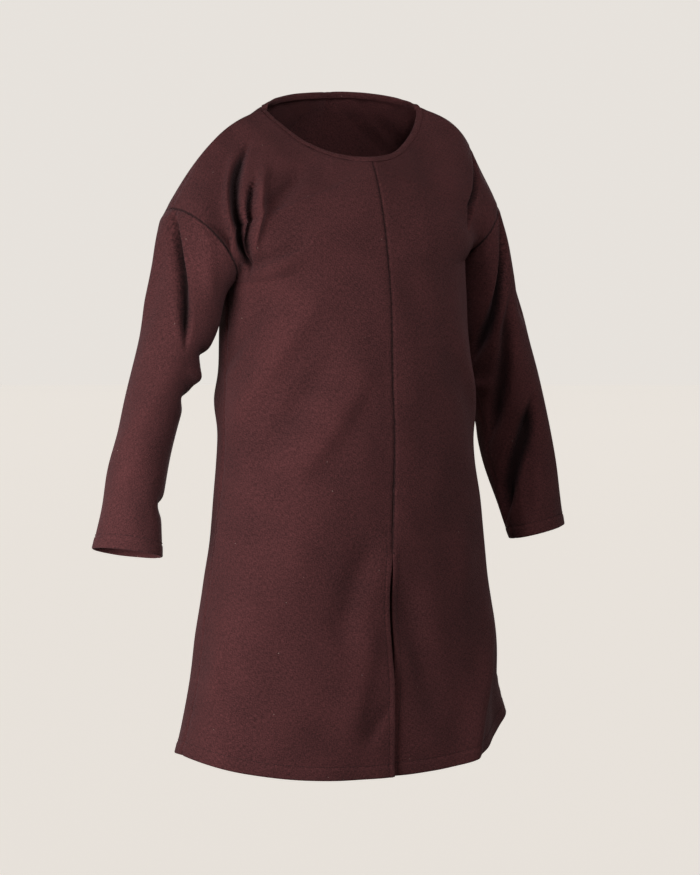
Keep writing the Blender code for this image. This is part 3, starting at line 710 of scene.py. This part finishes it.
def add_mesh(name, points, faces, corner_places, relief=None):
    """An object at the origin from points and four-cornered faces, with a UV map in metres of flat cloth."""
    mesh = bpy.data.meshes.new(name)
    mesh.vertices.add(len(points))
    mesh.vertices.foreach_set("co", points.ravel())
    mesh.loops.add(faces.size)
    mesh.loops.foreach_set("vertex_index", faces.ravel())
    mesh.polygons.add(len(faces))
    mesh.polygons.foreach_set("loop_start", np.arange(0, faces.size, 4))
    mesh.update(calc_edges=True)
    mesh.uv_layers.new(name="cloth").uv.foreach_set("vector", corner_places.ravel())
    if relief is not None:
        mesh.attributes.new("relief", "FLOAT", "POINT").data.foreach_set("value", relief)
    mesh.shade_smooth()
    mesh.set_sharp_from_angle(angle=SHARP_ANGLE)
    made = bpy.data.objects.new(name, mesh)
    bpy.context.scene.collection.objects.link(made)
    print(name, "has", 2 * len(faces), "triangles")
    return made


def add_wall(name, outer, inner, facing, faces, place_faces, place, relief):
    """Outer faces, the same faces on the inner points turned round, and a half circle along every open edge.

    A point of the rounded edge is middle + (outer - middle) * cos(angle) + away * radius * sin(angle), where
    away points off the cloth, square to the edge.
    """
    corner = outer[faces]
    face_way = np.cross(corner[:, 2] - corner[:, 0], corner[:, 3] - corner[:, 1])
    if (face_way * facing[faces].mean(axis=1)).sum() < 0:
        faces, place_faces = faces[:, ::-1], place_faces[:, ::-1]
    size = len(outer)
    edges = np.stack([faces, np.roll(faces, -1, axis=1)], axis=-1).reshape(-1, 2)
    place_edges = np.stack([place_faces, np.roll(place_faces, -1, axis=1)], axis=-1).reshape(-1, 2)
    open_edge = ~np.isin(edges[:, 0] * size + edges[:, 1], edges[:, 1] * size + edges[:, 0])
    edges, place_edges = edges[open_edge], place_edges[open_edge]

    away = np.zeros_like(outer)
    off_edge = unit(np.cross(outer[edges[:, 1]] - outer[edges[:, 0]], facing[edges].mean(axis=1)))
    np.add.at(away, edges.ravel(), np.repeat(off_edge, 2, axis=0))
    rim = np.unique(edges)
    away = unit(away[rim])
    middle, half = (outer[rim] + inner[rim]) / 2, (outer[rim] - inner[rim]) / 2
    radius = np.linalg.norm(half, axis=1, keepdims=True)
    angles = np.linspace(0, np.pi, EDGE_STEPS + 1)[1:-1]
    rings = [middle + half * np.cos(angle) + away * radius * np.sin(angle) for angle in angles]

    spot = np.searchsorted(rim, edges)
    levels = [edges] + [2 * size + len(rim) * k + spot for k in range(len(angles))] + [edges + size]
    edge_faces = [np.stack([a[:, 1], a[:, 0], b[:, 0], b[:, 1]], axis=-1) for a, b in zip(levels, levels[1:])]
    edge_places = place_edges[:, [1, 0, 0, 1]]
    all_faces = np.concatenate([faces, faces[:, ::-1] + size, *edge_faces])
    all_places = np.concatenate([place_faces, place_faces[:, ::-1]] + [edge_places] * EDGE_STEPS)
    all_relief = np.concatenate([relief, relief] + [relief[rim]] * len(angles))
    points = np.concatenate([outer, inner, *rings])
    return add_mesh(name, points, all_faces, place[all_places], all_relief)


# %% [markdown]
# ## The six pieces
# The fronts and sleeves are one grid each. The back is cut in one piece, so its two halves share the points
# of their middle line up to the neck. The binding is made last, round the neck that the panels leave.

# %% Fronts and sleeves
pieces = {}
for side, word in ((1, "left"), (-1, "right")):
    for piece in ("front", "sleeve"):
        key = piece, side
        shape = grids[key].shape[:2]
        index = np.arange(shape[0] * shape[1]).reshape(shape)
        place, place_index = places[key], index
        if piece == "sleeve":
            full_round = place[:, :1] + np.array([2 * np.pi * SLEEVE_RADIUS, 0.0])
            place = np.hstack([place, full_round])
            place_index = np.arange(place.shape[0] * place.shape[1]).reshape(place.shape[:2])
            index = np.hstack([index, index[:, :1]])
        name = f"{piece}_{word}"
        flat = [cloth[key].reshape(-1, 3) for cloth in (grids, inside, normals)]
        pieces[name] = add_wall(f"{name}_cloth", *flat, quads(index), quads(place_index),
                                place.reshape(-1, 2), reliefs[key].ravel())

# %% Back
left = np.arange(grids["back", 1][..., 0].size).reshape(grids["back", 1].shape[:2])
right = left + left.size
right[:NECK_FOOT + 1, 0] = left[:NECK_FOOT + 1, 0]
faces = np.concatenate([quads(left)[:, ::-1], quads(right)])
used, faces = np.unique(faces, return_inverse=True)
faces = faces.reshape(-1, 4)
flat = [np.concatenate([cloth["back", 1], cloth["back", -1]]).reshape(-1, 3)[used]
        for cloth in (grids, inside, normals)]
place = np.concatenate([places["back", 1], places["back", -1]]).reshape(-1, 2)[used]
relief = np.concatenate([reliefs["back", 1], reliefs["back", -1]]).ravel()[used]
pieces["back"] = add_wall("back_cloth", *flat, faces, faces, place, relief)

# %% [markdown]
# ## The neck binding
# A narrow strip is folded over the raw edge of the neck and stitched down, which leaves a rounded rim with a
# lip on each side of the cloth. Its cross-section is a hook-shaped band, carried round the neck.

# %% Neck binding
BINDING_WIDTH = 0.0065
BINDING_DEPTH = 0.0056
BINDING_CLOTH = 0.0012
BINDING_WAVE = 0.00035
BINDING_WAVE_LENGTH = 0.027
BINDING_OTHER_LENGTH = BINDING_WAVE_LENGTH * 1.61
ROLL_STEPS = 14
LIP_STEPS = 3


def round_the_neck(cloth):
    """The neck edge of the four half panels in turn, from the middle of the front to the left."""
    order = (("front", 1), ("back", 1), ("back", -1), ("front", -1))
    edges = [cloth[key][NECK_FOOT:, 0] for key in order]
    return np.vstack([edges[0], edges[1][-2::-1], edges[2][1:], edges[3][-2:0:-1]])


neck_path, neck_facing = round_the_neck(grids), unit(round_the_neck(normals))
neck_path = neck_path - neck_facing * CLOTH / 2
neck_along = unit(np.roll(neck_path, -1, axis=0) - np.roll(neck_path, 1, axis=0))
inwards = unit(np.cross(neck_facing, neck_along))
neck_run = np.concatenate([[0], np.cumsum(np.linalg.norm(np.diff(neck_path, axis=0), axis=1))])

roll = np.linspace(np.pi / 2, -np.pi / 2, ROLL_STEPS + 1)
lip = np.linspace(-BINDING_LIP, 0, LIP_STEPS + 1)[:-1]
reach_in = np.concatenate([lip, BINDING_WIDTH * np.cos(roll), lip[::-1]])
stand = np.concatenate([np.ones(len(lip)), np.sin(roll), -np.ones(len(lip))])


def binding_side(shrink):
    """The hook: straight lips along the cloth joined by a half oval, drawn in by shrink on the inside."""
    uneven = BINDING_WAVE * (np.sin(2 * np.pi * neck_run / BINDING_WAVE_LENGTH)
                             + np.sin(2 * np.pi * neck_run / BINDING_OTHER_LENGTH))
    width = reach_in * (1 - shrink / BINDING_WIDTH * (reach_in > 0))
    depth = stand * (BINDING_DEPTH / 2 - shrink)
    grown = depth[None, :] * (1 + uneven[:, None] / BINDING_DEPTH * 2)
    return (neck_path[:, None] + inwards[:, None] * width[None, :, None]
            + neck_facing[:, None] * grown[..., None])


hook_outer, hook_inner = binding_side(0.0), binding_side(BINDING_CLOTH)
hook = np.concatenate([hook_outer, hook_inner[:, ::-1]], axis=1)
index = np.arange(hook.shape[0] * hook.shape[1]).reshape(hook.shape[:2])
index = np.pad(index, ((0, 1), (0, 1)), mode="wrap")
round_hook = run_along(np.concatenate([hook[0], hook[0, :1]]), 0)
full_run = np.append(neck_run, neck_run[-1] + np.linalg.norm(neck_path[0] - neck_path[-1]))
binding_place = np.stack(np.broadcast_arrays(round_hook[None, :], full_run[:, None]), axis=-1)
place_index = np.arange(binding_place[..., 0].size).reshape(binding_place.shape[:2])
binding_faces, binding_places = quads(index), quads(place_index)
corner = hook.reshape(-1, 3)[binding_faces[:ROLL_STEPS]]
face_way = np.cross(corner[:, 2] - corner[:, 0], corner[:, 3] - corner[:, 1])
if (face_way[LIP_STEPS // 2] * neck_facing[0]).sum() < 0:
    binding_faces, binding_places = binding_faces[:, ::-1], binding_places[:, ::-1]
pieces["neck_binding"] = add_mesh("neck_binding_cloth", hook.reshape(-1, 3), binding_faces,
                                  binding_place.reshape(-1, 2)[binding_places])
print("neck binding runs", round(float(full_run[-1]), 3), "m")

# %% [markdown]
# ## Stitches
# Thread holds down the hem, the cuffs, the slit's edges and the binding. A texture could paint it, but thread
# is round and catches the light, so every stitch is a small bead of thread, half sunk into its dented line.

# %% Lines of stitching
STITCH_LENGTH = 0.0030
STITCH_STEP = 0.0042
THREAD_RADIUS = 0.00042
STITCH_SINK = 0.00010
STITCH_SHAKE = 0.12
STITCH_POINT = 0.96
STITCH_SIDES = 5
STITCH_RINGS = np.array([-1.0, -0.75, 0.0, 0.75, 1.0])


def beside_edge(key, distance, rows):
    """Points and normals on the cloth at a distance from the first column, interpolated along each row."""
    grid, facing = grids[key][rows], normals[key][rows]
    out = run_along(grid, 1)
    after = np.argmax(out >= distance, axis=1)
    line = np.arange(len(grid))
    t = (distance - out[line, after - 1]) / (out[line, after] - out[line, after - 1])
    return [cloth[line, after - 1] + (cloth[line, after] - cloth[line, after - 1]) * t[:, None]
            for cloth in (grid, facing)]


def above_hem(key, distance, closed):
    """Points and normals on the cloth at a distance from its hem or cuff, interpolated along each column."""
    grid, facing = grids[key], normals[key]
    if key[0] == "sleeve":
        grid, facing = grid[::-1], facing[::-1]
    up = run_along(grid, 0)
    after = np.argmax(up >= distance, axis=0)
    line = np.arange(grid.shape[1])
    t = (distance - up[after - 1, line]) / (up[after, line] - up[after - 1, line])
    found = [cloth[after - 1, line] + (cloth[after, line] - cloth[after - 1, line]) * t[:, None]
             for cloth in (grid, facing)]
    return [np.vstack([cloth, cloth[:1]]) for cloth in found] if closed else found


def stitch_row(points, facing, seed):
    """Places, ways and normals of evenly spaced stitches along a line, each shaken a little off its place."""
    run = run_along(points, 0)
    count = int(run[-1] / STITCH_STEP)
    shake = np.random.default_rng(seed).uniform(-STITCH_SHAKE, STITCH_SHAKE, count)
    at = (np.arange(count) + 0.5 + shake) * run[-1] / count
    middle, ahead, behind, up = (
        np.stack([np.interp(place, run, values[:, k]) for k in range(3)], axis=-1)
        for place, values in ((at, points), (at + STITCH_LENGTH / 2, points),
                              (at - STITCH_LENGTH / 2, points), (at, facing)))
    return middle, unit(ahead - behind), unit(up)


def add_stitches(name, lines):
    """Beads of thread: rings of radius * sqrt(1 - point * a^2) along each stitch, a from -1 to 1."""
    rows = [stitch_row(points, facing, seed) for seed, (points, facing) in enumerate(lines)]
    middle, way, up = (np.concatenate(parts)[:, None, None] for parts in zip(*rows))
    aside = unit(np.cross(way, up))
    swell = np.sqrt(np.clip(1 - STITCH_POINT * STITCH_RINGS**2, 0, 1))[None, :, None, None]
    turn = np.linspace(0, 2 * np.pi, STITCH_SIDES, endpoint=False)[None, None, :, None]
    along = STITCH_RINGS[None, :, None, None] * STITCH_LENGTH / 2
    bow = up * (swell * THREAD_RADIUS - STITCH_SINK)
    ring = THREAD_RADIUS * swell * (aside * np.cos(turn) + up * np.sin(turn))
    points = middle + way * along + bow + ring
    count, rings, sides = points.shape[:3]
    index = np.arange(rings * sides).reshape(rings, sides)
    faces = quads(np.hstack([index, index[:, :1]]))
    faces = np.concatenate([faces, [[*index[0, [3, 2, 1, 0]]], [*index[-1, [0, 1, 2, 3]]]]])
    faces = faces + np.arange(count)[:, None, None] * rings * sides
    faces = faces.reshape(-1, 4)
    place = np.stack(np.broadcast_arrays(along, turn * THREAD_RADIUS), axis=-1)
    place = np.broadcast_to(place, (count, rings, sides, 1, 2)).reshape(-1, 2)
    return add_mesh(name, points.reshape(-1, 3), faces, place[faces])


slit_rows = np.flatnonzero(grids["front", 1][:ARMPIT_ROW, 0, 2] < SLIT_TOP + SLIT_STITCH)
stitches = {}
for side, word in ((1, "left"), (-1, "right")):
    key = "front", side
    lines = [above_hem(key, HEM_DEPTH, False), beside_edge(key, SLIT_STITCH, slit_rows)]
    stitches[f"front_{word}"] = add_stitches(f"stitches_front_{word}", lines)
    cuff_line = above_hem(("sleeve", side), CUFF_DEPTH, True)
    stitches[f"sleeve_{word}"] = add_stitches(f"stitches_sleeve_{word}", [cuff_line])
hem_lines = [above_hem(("back", side), HEM_DEPTH, False) for side in (1, -1)]
stitches["back"] = add_stitches("stitches_back", hem_lines)

# %% [markdown]
# ## Materials
# The cloth is fulled wool twill: woven, then shrunk and felted until the threads nearly disappear under a
# short nap. The eye gets a matt dark red-brown, a fine fleck of lighter and darker fibre, a soft dusty bloom
# where the surface turns away, and a few pale specks of lint. Painted shade darkens the troughs of the folds,
# the creases and the seams, and painted highlight lightens the ridges of the folds. Everything is drawn on
# the flat cloth's own map, in metres, so the weave follows the cut.

# %% Nodes and colours
def linear(hex_colour):
    """sRGB hex to linear RGBA: ((c + 0.055) / 1.055)^2.4, or c / 12.92 for the darkest."""
    c = np.array([int(hex_colour[i:i + 2], 16) / 255 for i in (1, 3, 5)])
    rgb = np.where(c <= 0.04045, c / 12.92, ((c + 0.055) / 1.055) ** 2.4)
    return (*rgb.tolist(), 1.0)


def add_node(tree, kind, inputs=None, **settings):
    """A node of one kind with its settings; each input is a value, or a socket to link from."""
    made = tree.nodes.new(kind)
    for name, value in settings.items():
        setattr(made, name, value)
    for name, value in (inputs or {}).items():
        if isinstance(value, bpy.types.NodeSocket):
            tree.links.new(value, made.inputs[name])
        else:
            made.inputs[name].default_value = value
    return made


def new_material(name):
    """A material whose node tree is emptied."""
    material = bpy.data.materials.new(name)
    material.use_nodes = True
    material.node_tree.nodes.clear()
    return material, material.node_tree


# %% Fulled wool twill
THREAD = 0.0013
STREAK = 0.0050
TWILL = 0.0034
MOTTLE = 0.060
NAP = 0.0026
LINT_CELL = 0.020
LINT_SIZE = 0.00035
BAND_PERIOD = 2 * np.pi / 20
TWILL_LEAN = np.radians(-52)
FLECK_LOW, FLECK_HIGH = 0.80, 1.20
FLECK_SHARE, MOTTLE_SHARE, RIB_SHARE = 0.62, 0.45, 0.08
# Painted shade in the troughs of the folds and painted highlight on their ridges, over this height of relief
SHADED_FOLD_HEIGHT = 0.010
TROUGH_SHADE, RIDGE_HIGHLIGHT = -0.19, 0.13
# Painted shade in deep creases and seams: the relief where it is full, where it starts, and its darkest tone
DEEP_END, DEEP_START = -0.016, -0.006
CREASE_SHADE_TONE = 0.22
LINT_STRENGTH, LINT_RARITY = 0.75, 0.55
NAP_HEIGHT, RIB_HEIGHT = 0.8, 0.25
NAP_STRENGTH, NAP_DEPTH = 0.9, 0.0005
ROUGH_LOW, ROUGH_HIGH = 0.84, 0.98

WOOL_DARK = "#1F0E0F"
WOOL_LIGHT = "#4A2627"
WOOL_BLOOM = "#B08A92"
LINT = "#A08A82"


def fulled_wool(name, dark, light):
    """Matt wool: flecks along warp and weft, faint twill ribs, slow mottling, nap bump, sheen and lint."""
    material, tree = new_material(name)
    flat = add_node(tree, "ShaderNodeUVMap", uv_map="cloth").outputs["UV"]

    # Threads are about half a millimetre on the real cloth; they are drawn coarser so that they show.
    warp_place = add_node(tree, "ShaderNodeMapping", {"Vector": flat, "Scale": (1 / THREAD, 1 / STREAK, 1)})
    weft_place = add_node(tree, "ShaderNodeMapping", {"Vector": flat, "Scale": (1 / STREAK, 1 / THREAD, 1)})
    fleck = {"Scale": 1.0, "Detail": 2.0, "Roughness": 0.6}
    warp = add_node(tree, "ShaderNodeTexNoise", {**fleck, "Vector": warp_place.outputs[0]})
    weft = add_node(tree, "ShaderNodeTexNoise", {**fleck, "Vector": weft_place.outputs[0]})
    threads = add_node(tree, "ShaderNodeMath", {0: warp.outputs[0], 1: weft.outputs[0]}, operation="ADD")
    threads = add_node(tree, "ShaderNodeMapRange", {
        "Value": threads.outputs[0], "From Min": FLECK_LOW, "From Max": FLECK_HIGH})

    rib_place = add_node(tree, "ShaderNodeMapping", {
        "Vector": flat, "Rotation": (0, 0, TWILL_LEAN), "Scale": (BAND_PERIOD / TWILL,) * 3})
    ribs = add_node(tree, "ShaderNodeTexWave", {
        "Vector": rib_place.outputs[0], "Scale": 1.0, "Distortion": 1.6, "Detail": 2.0, "Detail Scale": 1.5})

    slow_place = add_node(tree, "ShaderNodeMapping", {"Vector": flat, "Scale": (1 / MOTTLE,) * 3})
    slow = add_node(tree, "ShaderNodeTexNoise", {
        "Vector": slow_place.outputs[0], "Scale": 1.0, "Detail": 3.0})
    relief = add_node(tree, "ShaderNodeAttribute", attribute_name="relief")
    # Painted shade in the troughs of the folds and painted highlight on their ridges: the tone follows the
    # relief
    fold_shading = add_node(tree, "ShaderNodeMapRange", {
        "Value": relief.outputs["Fac"], "From Min": -SHADED_FOLD_HEIGHT, "From Max": SHADED_FOLD_HEIGHT,
        "To Min": TROUGH_SHADE, "To Max": RIDGE_HIGHLIGHT})
    tone = add_node(tree, "ShaderNodeMath", {
        0: threads.outputs[0], 1: FLECK_SHARE, 2: fold_shading.outputs[0]}, operation="MULTIPLY_ADD")
    tone = add_node(tree, "ShaderNodeMath", {
        0: slow.outputs[0], 1: MOTTLE_SHARE, 2: tone.outputs[0]}, operation="MULTIPLY_ADD")
    tone = add_node(tree, "ShaderNodeMath", {
        0: ribs.outputs[1], 1: RIB_SHARE, 2: tone.outputs[0]}, operation="MULTIPLY_ADD")
    colour = add_node(tree, "ShaderNodeMix", {
        "Factor": tone.outputs[0], 6: linear(dark), 7: linear(light)}, data_type="RGBA")

    # A real crease or seam is tighter than this mesh can fold, so painted shade darkens its depths as well.
    crease_shade = add_node(tree, "ShaderNodeMapRange", {
        "Value": relief.outputs["Fac"], "From Min": DEEP_END, "From Max": DEEP_START,
        "To Min": CREASE_SHADE_TONE, "To Max": 1.0})
    colour = add_node(tree, "ShaderNodeMix", {
        "Factor": 1.0, 6: colour.outputs[2], 7: crease_shade.outputs[0]}, data_type="RGBA", blend_type="MULTIPLY")

    lint_place = add_node(tree, "ShaderNodeMapping", {"Vector": flat, "Scale": (1 / LINT_CELL,) * 3})
    lint = add_node(tree, "ShaderNodeTexVoronoi", {
        "Vector": lint_place.outputs[0], "Scale": 1.0, "Randomness": 1.0})
    speck = add_node(tree, "ShaderNodeMapRange", {
        "Value": lint.outputs["Distance"], "To Min": LINT_STRENGTH, "To Max": 0.0,
        "From Min": LINT_SIZE / LINT_CELL, "From Max": 2 * LINT_SIZE / LINT_CELL})
    chance = add_node(tree, "ShaderNodeSeparateColor", {0: lint.outputs["Color"]})
    chosen = add_node(tree, "ShaderNodeMath", {
        0: chance.outputs[0], 1: LINT_RARITY}, operation="GREATER_THAN")
    speck = add_node(tree, "ShaderNodeMath", {
        0: speck.outputs[0], 1: chosen.outputs[0]}, operation="MULTIPLY")
    colour = add_node(tree, "ShaderNodeMix", {
        "Factor": speck.outputs[0], 6: colour.outputs[2], 7: linear(LINT)}, data_type="RGBA")

    nap_place = add_node(tree, "ShaderNodeMapping", {"Vector": flat, "Scale": (1 / NAP,) * 3})
    nap = add_node(tree, "ShaderNodeTexNoise", {
        "Vector": nap_place.outputs[0], "Scale": 1.0, "Detail": 4.0, "Roughness": 0.7})
    height = add_node(tree, "ShaderNodeMath", {
        0: nap.outputs[0], 1: NAP_HEIGHT, 2: threads.outputs[0]}, operation="MULTIPLY_ADD")
    height = add_node(tree, "ShaderNodeMath", {
        0: ribs.outputs[1], 1: RIB_HEIGHT, 2: height.outputs[0]}, operation="MULTIPLY_ADD")
    bump = add_node(tree, "ShaderNodeBump", {
        "Strength": NAP_STRENGTH, "Distance": NAP_DEPTH, "Height": height.outputs[0]})
    rough = add_node(tree, "ShaderNodeMapRange", {
        "Value": threads.outputs[0], "To Min": ROUGH_HIGH, "To Max": ROUGH_LOW})
    shader = add_node(tree, "ShaderNodeBsdfPrincipled", {
        "Base Color": colour.outputs[2], "Roughness": rough.outputs[0], "Normal": bump.outputs[0],
        "Specular IOR Level": 0.13, "Sheen Weight": 0.12, "Sheen Roughness": 0.45,
        "Sheen Tint": linear(WOOL_BLOOM)})
    add_node(tree, "ShaderNodeOutputMaterial", {"Surface": shader.outputs[0]})
    return material


wool = fulled_wool("fulled_wool_twill", WOOL_DARK, WOOL_LIGHT)
binding_wool = fulled_wool("wool_binding", WOOL_DARK, WOOL_LIGHT)
for name, piece in pieces.items():
    piece.data.materials.append(binding_wool if name == "neck_binding" else wool)
print("wool on", len(pieces), "pieces, threads drawn", round(1000 * THREAD, 1), "mm wide")

# %% Sewing thread
# Spun thread in the cloth's own colour: slightly smoother than wool, so each stitch has a small light on it.
THREAD_COLOUR = "#2C1617"
THREAD_TWIST = 0.0009
TWIST_LEAN = np.radians(35)

thread, tree = new_material("spun_sewing_thread")
flat = add_node(tree, "ShaderNodeUVMap", uv_map="cloth").outputs["UV"]
twist_place = add_node(tree, "ShaderNodeMapping", {
    "Vector": flat, "Rotation": (0, 0, TWIST_LEAN), "Scale": (BAND_PERIOD / THREAD_TWIST,) * 3})
twist = add_node(tree, "ShaderNodeTexWave", {
    "Vector": twist_place.outputs[0], "Scale": 1.0, "Distortion": 0.6})
colour = add_node(tree, "ShaderNodeMix", {
    "Factor": twist.outputs[1], 6: linear(WOOL_DARK), 7: linear(THREAD_COLOUR)}, data_type="RGBA")
bump = add_node(tree, "ShaderNodeBump", {"Strength": 0.4, "Distance": 0.0001, "Height": twist.outputs[1]})
shader = add_node(tree, "ShaderNodeBsdfPrincipled", {
    "Base Color": colour.outputs[2], "Normal": bump.outputs[0], "Roughness": 0.7, "Specular IOR Level": 0.2})
add_node(tree, "ShaderNodeOutputMaterial", {"Surface": shader.outputs[0]})
for piece in stitches.values():
    piece.data.materials.append(thread)
print("thread on", len(stitches), "rows of stitches")

# %% [markdown]
# ## What each piece is
# ## The pieces on the body
# Every piece rides on the garment's one body and stands for its solid, which is hidden. The table gives the
# size each cloth was cut to before sewing: a sleeve's width is its whole girth, and the area is that of the
# cut, which isn't a rectangle. Only the whole cut's area is worked out and printed.

# %% Cloth and bodies
# Cut width and length, share of that rectangle that the cut fills, how it is held, what it hangs from
CUTS = {
    "front_left": (0.372, 1.000, 0.74, "hung", ["back"]),
    "front_right": (0.372, 1.000, 0.74, "hung", ["back"]),
    "back": (0.740, 1.000, 0.76, "hung", ["front_left", "front_right"]),
    "sleeve_left": (0.420, 0.500, 0.80, "hung", ["front_left", "back"]),
    "sleeve_right": (0.420, 0.500, 0.80, "hung", ["front_right", "back"]),
    "neck_binding": (0.024, 0.720, 1.00, "folded", ["front_left", "front_right", "back"]),
}
for name, (width, length, filled, held, rests_on) in CUTS.items():
    piece = pieces[name]
    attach(piece, "root")
    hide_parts(name)
    if name in stitches:
        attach(stitches[name], "root")
whole_cut = sum(width * length * filled for width, length, filled, *_ in CUTS.values())
print("whole cut:", round(whole_cut, 2), "square metres")

# %% [markdown]
# ## Floor, light and camera
# The garment stands in the air as on a wearer, so the floor lies some way below the hem. A soft light at the
# wearer's right models the folds, a weak one in front fills them, two behind show the back, and a pale
# surround lights the rest. The camera stands at the photograph's angle, about level with the chest.

# %% Floor
FLOOR_HEIGHT = -1.50
FLOOR_RADIUS = 40.0
FLOOR_SIDES = 96
# Matt paper: pale and almost even, so that only the cloth draws the eye
PAPER = "#F0EBE5"
PAPER_GRAIN = "#DEDAD4"
FLOOR_GLOW = 0.672

turn = np.linspace(0, 2 * np.pi, FLOOR_SIDES, endpoint=False)
rim = stack(FLOOR_RADIUS * np.cos(turn), FLOOR_RADIUS * np.sin(turn), FLOOR_HEIGHT)
mesh = bpy.data.meshes.new("floor")
mesh.from_pydata(rim.tolist(), [], [list(range(FLOOR_SIDES))])
floor = bpy.data.objects.new("floor", mesh)
bpy.context.scene.collection.objects.link(floor)
paper, tree = new_material("pale_matt_paper")
grain = add_node(tree, "ShaderNodeTexNoise", {"Scale": 3.0, "Detail": 4.0})
colour = add_node(tree, "ShaderNodeMix", {
    "Factor": grain.outputs[0], 6: linear(PAPER_GRAIN), 7: linear(PAPER)}, data_type="RGBA")
seen = add_node(tree, "ShaderNodeLightPath").outputs["Is Camera Ray"]
glow = add_node(tree, "ShaderNodeMath", {0: seen, 1: FLOOR_GLOW}, operation="MULTIPLY")
shader = add_node(tree, "ShaderNodeBsdfPrincipled", {
    "Base Color": colour.outputs[2], "Roughness": 0.9,
    "Emission Color": linear(PAPER), "Emission Strength": glow.outputs[0]})
add_node(tree, "ShaderNodeOutputMaterial", {"Surface": shader.outputs[0]})
mesh.materials.append(paper)
print("floor at", FLOOR_HEIGHT, "m")

# %% Light
AIM = np.array([0.0, 0.0, -0.45])
# Name, place, side of the square, power in watts
LIGHTS = (
    ("key_light", (-1.22, -0.57, -0.57), 0.6, 25.5),
    ("front_light", (-0.1, -1.40, 1.05), 0.7, 22.0),
    ("rim_light", (2.4, 2.6, 1.2), 1.6, 55.0),
    ("back_light", (1.1, 1.9, -0.10), 0.9, 24.0),
)
SURROUND_SEEN = 0.917
SURROUND_LIGHT = 0.32


def aim_at(thing, place, aim):
    """Puts a light or a camera at a place and turns its -Z towards the aim."""
    thing.location = place
    thing.rotation_euler = (Vector(aim) - Vector(place)).to_track_quat("-Z", "Y").to_euler()
    bpy.context.scene.collection.objects.link(thing)


garment = bpy.data.collections.new("garment")
for piece in (*pieces.values(), *stitches.values()):
    garment.objects.link(piece)
for name, place, width, power in LIGHTS:
    lamp = bpy.data.lights.new(name, "AREA")
    lamp.size, lamp.energy = width, power
    made = bpy.data.objects.new(name, lamp)
    made.light_linking.receiver_collection = garment
    made.visible_camera = False
    aim_at(made, place, AIM)
world = bpy.data.worlds.new("pale_surround")
bpy.context.scene.world = world
world.use_nodes = True
world.node_tree.nodes.clear()
seen = add_node(world.node_tree, "ShaderNodeLightPath").outputs["Is Camera Ray"]
strength = add_node(world.node_tree, "ShaderNodeMapRange", {
    "Value": seen, "To Min": SURROUND_LIGHT, "To Max": SURROUND_SEEN})
surround = add_node(world.node_tree, "ShaderNodeBackground", {
    "Color": linear(PAPER), "Strength": strength.outputs[0]})
add_node(world.node_tree, "ShaderNodeOutputWorld", {"Surface": surround.outputs[0]})
bpy.context.scene.view_settings.view_transform = "Standard"
print("lights:", ", ".join(name for name, *_ in LIGHTS))

# %% Camera
CAMERA_PLACE = (-1.75, -3.0311, -0.31)
CAMERA_AIM = (0.00889, -0.00513, -0.48375)
SENSOR = 36.0
IMAGE_LONG_SIDE = 875
FOCAL_PIXELS = 2387

eye = bpy.data.cameras.new("camera")
eye.sensor_width = SENSOR
eye.lens = SENSOR * FOCAL_PIXELS / IMAGE_LONG_SIDE
camera = bpy.data.objects.new("camera", eye)
aim_at(camera, CAMERA_PLACE, CAMERA_AIM)
bpy.context.scene.camera = camera
print("lens", round(eye.lens, 1), "mm")

# %% [markdown]
# ## End
# The scene is brought up to date. The dressed garment may stand only a little proud of its solids.

# %% End
bpy.context.view_layer.update()
